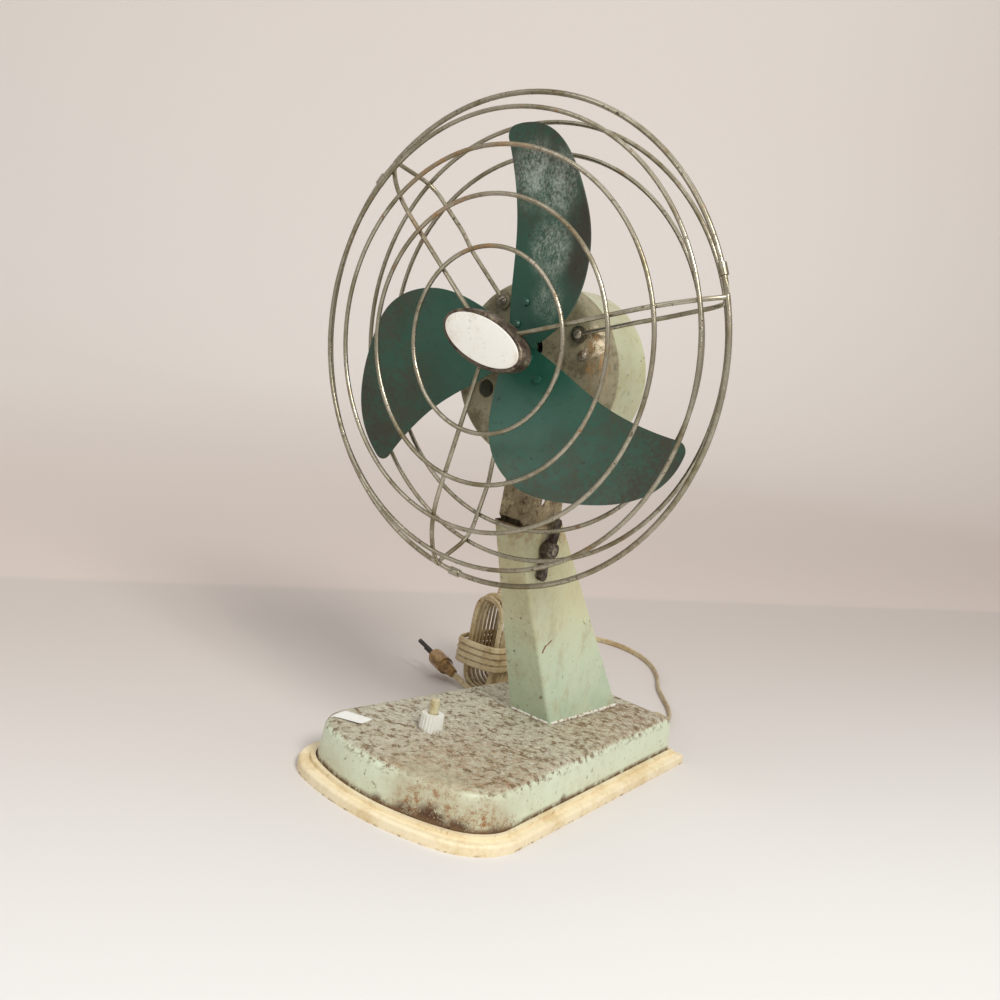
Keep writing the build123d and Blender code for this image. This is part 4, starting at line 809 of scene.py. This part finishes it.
# slotted screws, one tree for every set
screwSets = {
    "cover_screws": {"way": (0, -1, 0), "radius": 0.0036, "height": 0.0023, "slot": 0.0010, "slotDepth": 0.0011,
                     "shank": 0.0017, "length": 0.012, "seed": 3, "body": "head", "slotName": "plain_steel"},
    "guard_screws": {"way": (0, -1, 0), "radius": 0.0033, "height": 0.0019, "slot": 0.0009, "slotDepth": 0.0010,
                     "shank": 0.0017, "length": 0.009, "seed": 8, "body": "head", "slotName": "plain_steel"},
}


def solidBoxes(name):
    # the boxes of a node's separate solids, as low and high corners
    form = bmesh.new()
    form.from_mesh(nodes[name].data)
    bmesh.ops.remove_doubles(form, verts=form.verts, dist=0.000002)
    waiting, boxes = set(form.verts), []
    while waiting:
        reached, edge = set(), [waiting.pop()]
        while edge:
            vertex = edge.pop()
            reached.add(vertex)
            for link in vertex.link_edges:
                other = link.other_vert(vertex)
                if other in waiting:
                    waiting.discard(other)
                    edge.append(other)
        places = np.array([nodes[name].matrix_world @ vertex.co for vertex in reached])
        boxes.append((places.min(0), places.max(0)))
    form.free()
    return boxes


def newTree(name, inputs):
    tree = bpy.data.node_groups.new(name, "GeometryNodeTree")
    tree.interface.new_socket("Geometry", in_out="INPUT", socket_type="NodeSocketGeometry")
    for label, kind in inputs:
        tree.interface.new_socket(label, in_out="INPUT", socket_type="NodeSocket" + kind)
    tree.interface.new_socket("Geometry", in_out="OUTPUT", socket_type="NodeSocketGeometry")
    return tree, tree.nodes.new("NodeGroupInput"), tree.nodes.new("NodeGroupOutput")


def makeScrewTree():
    tree, start, end = newTree("slottedScrews", [
        ("Radius", "Float"), ("Height", "Float"), ("Slot", "Float"), ("Slot Depth", "Float"), ("Shank", "Float"),
        ("Length", "Float"), ("Seed", "Int"), ("Finish", "Material")])
    value = start.outputs
    # the dome is a flattened ball, cut off at its middle and slotted
    ball = addNode(tree, "GeometryNodeMeshUVSphere", {"Segments": 28, "Rings": 16, "Radius": 1.0})
    flat = addNode(tree, "ShaderNodeCombineXYZ", {0: value["Radius"], 1: value["Radius"], 2: value["Height"]})
    dome = addNode(tree, "GeometryNodeTransform", {"Geometry": ball.outputs[0], "Scale": flat.outputs[0]})
    wide = mathNode(tree, "MULTIPLY", value["Radius"], 3.0)
    below = addNode(tree, "ShaderNodeCombineXYZ", {0: 0.0, 1: 0.0, 2: mathNode(tree, "MULTIPLY", wide, -0.5)})
    underSize = addNode(tree, "ShaderNodeCombineXYZ", {0: wide, 1: wide, 2: wide})
    underBox = addNode(tree, "GeometryNodeMeshCube", {"Size": underSize.outputs[0]})
    under = addNode(tree, "GeometryNodeTransform", {"Geometry": underBox.outputs[0],
                                                    "Translation": below.outputs[0]})
    slotSize = addNode(tree, "ShaderNodeCombineXYZ", {0: wide, 1: value["Slot"],
                                                      2: mathNode(tree, "MULTIPLY", value["Slot Depth"], 2.0)})
    slotBox = addNode(tree, "GeometryNodeMeshCube", {"Size": slotSize.outputs[0]})
    slotAt = addNode(tree, "ShaderNodeCombineXYZ", {0: 0.0, 1: 0.0, 2: value["Height"]})
    slot = addNode(tree, "GeometryNodeTransform",
                   {"Geometry": slotBox.outputs[0], "Translation": slotAt.outputs[0]})
    cut = addNode(tree, "GeometryNodeMeshBoolean", {"Mesh 1": dome.outputs[0]}, operation="DIFFERENCE")
    tree.links.new(under.outputs[0], cut.inputs["Mesh 2"])
    tree.links.new(slot.outputs[0], cut.inputs["Mesh 2"])
    stem = addNode(tree, "GeometryNodeMeshCylinder", {"Vertices": 20, "Radius": value["Shank"],
                                                      "Depth": value["Length"]})
    stemAt = addNode(tree, "ShaderNodeCombineXYZ", {0: 0.0, 1: 0.0,
                                                    2: mathNode(tree, "MULTIPLY", value["Length"], -0.499)})
    shank = addNode(tree, "GeometryNodeTransform", {"Geometry": stem.outputs[0], "Translation": stemAt.outputs[0]})
    whole = tree.nodes.new("GeometryNodeJoinGeometry")
    tree.links.new(cut.outputs[0], whole.inputs[0])
    tree.links.new(shank.outputs[0], whole.inputs[0])
    # each screw stands along its point's own axis and is turned by chance
    axis = addNode(tree, "GeometryNodeInputNamedAttribute", {"Name": "axis"}, data_type="FLOAT_VECTOR")
    aim = addNode(tree, "FunctionNodeAlignEulerToVector", {"Vector": axis.outputs[0]}, axis="Z")
    angle = addNode(tree, "FunctionNodeRandomValue", {2: 0.0, 3: 3.14, "Seed": value["Seed"]}, data_type="FLOAT")
    turn = addNode(tree, "FunctionNodeRotateEuler", {"Rotation": aim.outputs[0], "Axis": (0, 0, 1),
                                                     "Angle": angle.outputs[1]}, rotation_type="AXIS_ANGLE",
                   space="LOCAL")
    spread = addNode(tree, "GeometryNodeInstanceOnPoints", {"Points": value["Geometry"],
                                                            "Instance": whole.outputs[0],
                                                            "Rotation": turn.outputs[0]})
    solid = addNode(tree, "GeometryNodeRealizeInstances", {"Geometry": spread.outputs[0]})
    coated = addNode(tree, "GeometryNodeSetMaterial", {"Geometry": solid.outputs[0], "Material": value["Finish"]})
    tree.links.new(coated.outputs[0], end.inputs[0])
    return tree


def grown(name, mesh, tree, values):
    # runs a tree on a mesh and returns what it makes as a plain object
    holder = bpy.data.objects.new(name + "Points", mesh)
    scene.collection.objects.link(holder)
    modifier = holder.modifiers.new("grow", "NODES")
    modifier.node_group = tree
    sockets = {item.name: item.identifier for item in tree.interface.items_tree if item.in_out == "INPUT"}
    for label, value in values.items():
        modifier[sockets[label]] = value
    made = bpy.data.meshes.new_from_object(holder.evaluated_get(bpy.context.evaluated_depsgraph_get()))
    made.name = name
    bpy.data.objects.remove(holder)
    result = bpy.data.objects.new(name, made)
    scene.collection.objects.link(result)
    return result


screwTree = makeScrewTree()
for nodeName, look in screwSets.items():
    way = Vector(look["way"])
    seats = []
    for low, high in solidBoxes(nodeName):
        # the head's seat is its height behind the front end of the CAD screw
        middle = Vector((low + high) / 2)
        tip = Vector(high if max(way) > 0 else low)
        seats.append(middle - way * middle.dot(way) + way * (tip.dot(way) - look["height"]))
    points = bpy.data.meshes.new(nodeName + "Seats")
    points.from_pydata([tuple(seat) for seat in seats], [], [])
    ways = points.attributes.new("axis", "FLOAT_VECTOR", "POINT")
    ways.data.foreach_set("vector", [channel for _ in seats for channel in way])
    screws = grown(nodeName.replace("_s", "S"), points, screwTree, {
        "Radius": look["radius"], "Height": look["height"], "Slot": look["slot"], "Slot Depth": look["slotDepth"],
        "Shank": look["shank"], "Length": look["length"], "Seed": look["seed"], "Finish": finishes["plainSteel"]})
    for polygon in screws.data.polygons:
        polygon.use_smooth = True
    edge = screws.modifiers.new("crease", "EDGE_SPLIT")
    edge.split_angle = radians(35)
    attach(screws, look["body"])
    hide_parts(nodeName)
print("slotted screws placed")

# the switch's return spring under the plunger, copied from its CAD node as it stands
springLook = {"travel": 0.002, "joint": "switch_press", "finish": "plainSteel", "slotName": "plain_steel"}


def makeSpring(look):
    source = nodes["switch_spring"]
    form = bmesh.new()
    form.from_mesh(source.data)
    form.transform(source.matrix_world)
    bmesh.ops.remove_doubles(form, verts=form.verts, dist=0.000002)
    mesh = bpy.data.meshes.new("returnSpring")
    form.to_mesh(mesh)
    form.free()
    mesh.polygons.foreach_set("use_smooth", [True] * len(mesh.polygons))
    mesh.materials.append(finishes[look["finish"]])
    spring = bpy.data.objects.new("returnSpring", mesh)
    scene.collection.objects.link(spring)
    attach(spring, "stand")
    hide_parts("switch_spring")
    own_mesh(spring)


makeSpring(springLook)
print("return spring made")

# cracked white filler round the neck's foot
beadLook = {"radius": 0.0013, "unevenness": 0.0011, "steps": 320, "sides": 8, "drop": 0.0002, "spread": 0.0004}


def makeBeadTree():
    tree, start, end = newTree("fillerBead", [
        ("Radius", "Float"), ("Unevenness", "Float"), ("Steps", "Int"), ("Sides", "Int"), ("Finish", "Material")])
    value = start.outputs
    path = addNode(tree, "GeometryNodeMeshToCurve", {"Mesh": value["Geometry"]})
    even = addNode(tree, "GeometryNodeResampleCurve", {"Curve": path.outputs[0], "Count": value["Steps"]})
    ring = addNode(tree, "GeometryNodeCurvePrimitiveCircle", {"Resolution": value["Sides"],
                                                              "Radius": value["Radius"]})
    bead = addNode(tree, "GeometryNodeCurveToMesh", {"Curve": even.outputs[0], "Profile Curve": ring.outputs[0],
                                                     "Fill Caps": True})
    place = tree.nodes.new("GeometryNodeInputPosition")
    lumps = addNode(tree, "ShaderNodeTexNoise", {"Vector": place.outputs[0], "Scale": 260.0, "Detail": 3.0})
    centred = addNode(tree, "ShaderNodeVectorMath", {0: lumps.outputs[1], 1: (0.5, 0.5, 0.5)}, operation="SUBTRACT")
    push = addNode(tree, "ShaderNodeVectorMath", {0: centred.outputs[0]}, operation="SCALE")
    tree.links.new(mathNode(tree, "MULTIPLY", value["Unevenness"], 2.0), push.inputs["Scale"])
    moved = addNode(tree, "GeometryNodeSetPosition", {"Geometry": bead.outputs[0], "Offset": push.outputs[0]})
    solid = addNode(tree, "GeometryNodeRealizeInstances", {"Geometry": moved.outputs[0]})
    coated = addNode(tree, "GeometryNodeSetMaterial", {"Geometry": solid.outputs[0], "Material": value["Finish"]})
    tree.links.new(coated.outputs[0], end.inputs[0])
    return tree


def footOutline(look):
    # the neck's outline where it meets the base, read from the lowest points of its mesh
    mesh = nodes["neck"].data
    places = np.array([nodes["neck"].matrix_world @ vertex.co for vertex in mesh.vertices])
    lowest = places[:, 2].min()
    foot = places[places[:, 2] < lowest + 0.001]
    left, right = foot[:, 0].min() - look["spread"], foot[:, 0].max() + look["spread"]
    near, far = foot[:, 1].min() - look["spread"], foot[:, 1].max()
    z = lowest + look["radius"] - look["drop"]
    corner = 0.004
    return [(left, far, z), (left, near + corner, z), (left + corner, near, z), (right - corner, near, z),
            (right, near + corner, z), (right, far, z)]


outline = footOutline(beadLook)
outlineMesh = bpy.data.meshes.new("footOutline")
outlineMesh.from_pydata(outline, [(index, index + 1) for index in range(len(outline) - 1)], [])
bead = grown("footBead", outlineMesh, makeBeadTree(), {
    "Radius": beadLook["radius"], "Unevenness": beadLook["unevenness"], "Steps": beadLook["steps"],
    "Sides": beadLook["sides"], "Finish": finishes["crackedFiller"]})
for polygon in bead.data.polygons:
    polygon.use_smooth = True
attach(bead, "stand")
print("filler bead laid")

# blank paper sticker on the base
stickerLook = {"corners": ((-0.0735, -0.1400), (-0.0500, -0.1335), (-0.0530, -0.1145), (-0.0745, -0.1215)),
               "steps": (16, 12), "lift": 0.00012, "curl": 0.0014, "thickness": 0.00012}


def makeSticker(look):
    shell = bmesh.new()
    shell.from_mesh(nodes["base_shell"].data)
    shell.transform(nodes["base_shell"].matrix_world)
    surface = BVHTree.FromBMesh(shell)
    shell.free()
    corners = [Vector(corner) for corner in look["corners"]]
    across, along = look["steps"]
    form = bmesh.new()
    rows = []
    for row in range(along + 1):
        rowShare = row / along
        line = []
        for column in range(across + 1):
            share = column / across
            flat = corners[0].lerp(corners[1], share).lerp(corners[3].lerp(corners[2], share), rowShare)
            hit = surface.ray_cast(Vector((*flat, 0.2)), Vector((0, 0, -1)))[0]
            # the near edge has come loose and curls up
            curl = look["curl"] * max(0.0, (0.35 - rowShare) / 0.35) ** 2 * share
            line.append(form.verts.new(hit + Vector((0, 0, look["lift"] + curl))))
        rows.append(line)
    for line, following in zip(rows, rows[1:]):
        for index in range(across):
            form.faces.new((line[index], line[index + 1], following[index + 1], following[index]))
    mesh = bpy.data.meshes.new("sticker")
    form.to_mesh(mesh)
    form.free()
    mesh.polygons.foreach_set("use_smooth", [True] * len(mesh.polygons))
    mesh.materials.append(finishes["stickerWhite"])
    sticker = bpy.data.objects.new("sticker", mesh)
    scene.collection.objects.link(sticker)
    thick = sticker.modifiers.new("paper", "SOLIDIFY")
    thick.thickness = look["thickness"]
    thick.offset = 1.0
    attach(sticker, "stand")


makeSticker(stickerLook)
print("sticker laid")

# floor, backdrop and lamps
stageLook = {
    "near": paint(224, 221, 217), "far": paint(199, 189, 181), "wallLowShade": paint(209, 196, 187),
    "wallHighLit": paint(244, 236, 228), "away": (-0.922, 0.388, 0.0), "wallAt": 0.453, "wallSoft": 0.012,
    "nearAt": -0.35, "highAt": 1.9, "width": 14.0, "nearEnd": -6.0, "bend": 1.6, "radius": 0.8, "height": 3.2,
}


def makeBackdrop(look):
    # floor that sweeps up into a wall; the line where a wall meets the floor is in its colour. The colour is
    # painted light: the floor is painted darker towards the back as painted light falloff, and the wall is painted
    # shade at its foot and a painted lighter tone higher up
    profile = [(look["nearEnd"], 0.0), (look["bend"], 0.0)]
    for index in range(1, 25):
        angle = index / 24 * pi / 2
        profile.append((look["bend"] + look["radius"] * sin(angle), look["radius"] * (1 - cos(angle))))
    profile.append((look["bend"] + look["radius"], look["height"]))
    form = bmesh.new()
    rows = [[form.verts.new((sideways * look["width"] / 2, y, z)) for sideways in (-1, 1)] for y, z in profile]
    for row, following in zip(rows, rows[1:]):
        form.faces.new((row[0], row[1], following[1], following[0]))
    turned = Matrix.Rotation(radians(cameraSetup["turn"]), 4, "Z")
    bmesh.ops.transform(form, matrix=turned, verts=form.verts)
    mesh = bpy.data.meshes.new("backdrop")
    form.to_mesh(mesh)
    form.free()
    mesh.polygons.foreach_set("use_smooth", [True] * len(mesh.polygons))
    backdrop = bpy.data.objects.new("backdrop", mesh)
    scene.collection.objects.link(backdrop)
    material = bpy.data.materials.new("paleBackdrop")
    material.use_nodes = True
    tree = material.node_tree
    shader = tree.nodes["Principled BSDF"]
    place = tree.nodes.new("ShaderNodeTexCoord").outputs["Object"]
    edge, soft = look["wallAt"], look["wallSoft"]
    # painted light falloff: near floor to darker far floor, then the wall's painted shaded foot and its painted lit
    # upper part
    bands = [("near", None, None), ("far", look["nearAt"], edge - 0.05), ("wallLowShade", edge - soft, edge + soft),
             ("wallHighLit", edge + 0.1, look["highAt"])]
    colour = (*look["near"], 1)
    for name, begin, finish in bands[1:]:
        mask = groupNode(tree, zoneGroup, {"Vector": place, "Axis": look["away"], "Start": begin, "End": finish})
        colour = mixColour(tree, mask, colour, (*look[name], 1))
    tree.links.new(colour, shader.inputs["Base Color"])
    shader.inputs["Roughness"].default_value = 0.9
    mesh.materials.append(material)


makeBackdrop(stageLook)

lampSetup = {
    "key": {"at": (1.5, -0.9, 1.75), "size": 0.7, "power": 40.0, "colour": (1.0, 0.99, 0.965)},
    "fill": {"at": (-0.6, -2.0, 1.5), "size": 1.6, "power": 9.0, "colour": (0.97, 0.98, 1.0)},
    "top": {"at": (0.0, 0.2, 2.4), "size": 1.6, "power": 8.0, "colour": (1.0, 1.0, 1.0)},
}
lampTarget = Vector((0, 0, 0.22))


def makeLamp(name, look):
    lampData = bpy.data.lights.new(name, "AREA")
    lampData.shape = "SQUARE"
    lampData.size = look["size"]
    lampData.energy = look["power"]
    lampData.color = look["colour"]
    lamp = bpy.data.objects.new(name, lampData)
    lamp.location = look["at"]
    lamp.rotation_euler = (lampTarget - lamp.location).to_track_quat("-Z", "Y").to_euler()
    scene.collection.objects.link(lamp)


for name, look in lampSetup.items():
    makeLamp(name, look)


def makeWorld(look):
    world = bpy.data.worlds.new("studio")
    world.use_nodes = True
    tree = world.node_tree
    background = tree.nodes["Background"]
    background.inputs[0].default_value = (*look["fill"], 1)
    background.inputs[1].default_value = look["strength"]
    seen = addNode(tree, "ShaderNodeBackground", {0: (*look["background"], 1), 1: 1.0})
    paths = tree.nodes.new("ShaderNodeLightPath")
    either = mathNode(tree, "MAXIMUM", paths.outputs["Is Camera Ray"], paths.outputs["Is Glossy Ray"])
    mix = addNode(tree, "ShaderNodeMixShader", {0: either, 1: background.outputs[0], 2: seen.outputs[0]})
    tree.links.new(mix.outputs[0], tree.nodes["World Output"].inputs[0])
    scene.world = world


makeWorld(worldLook)
print("stage and lamps ready")
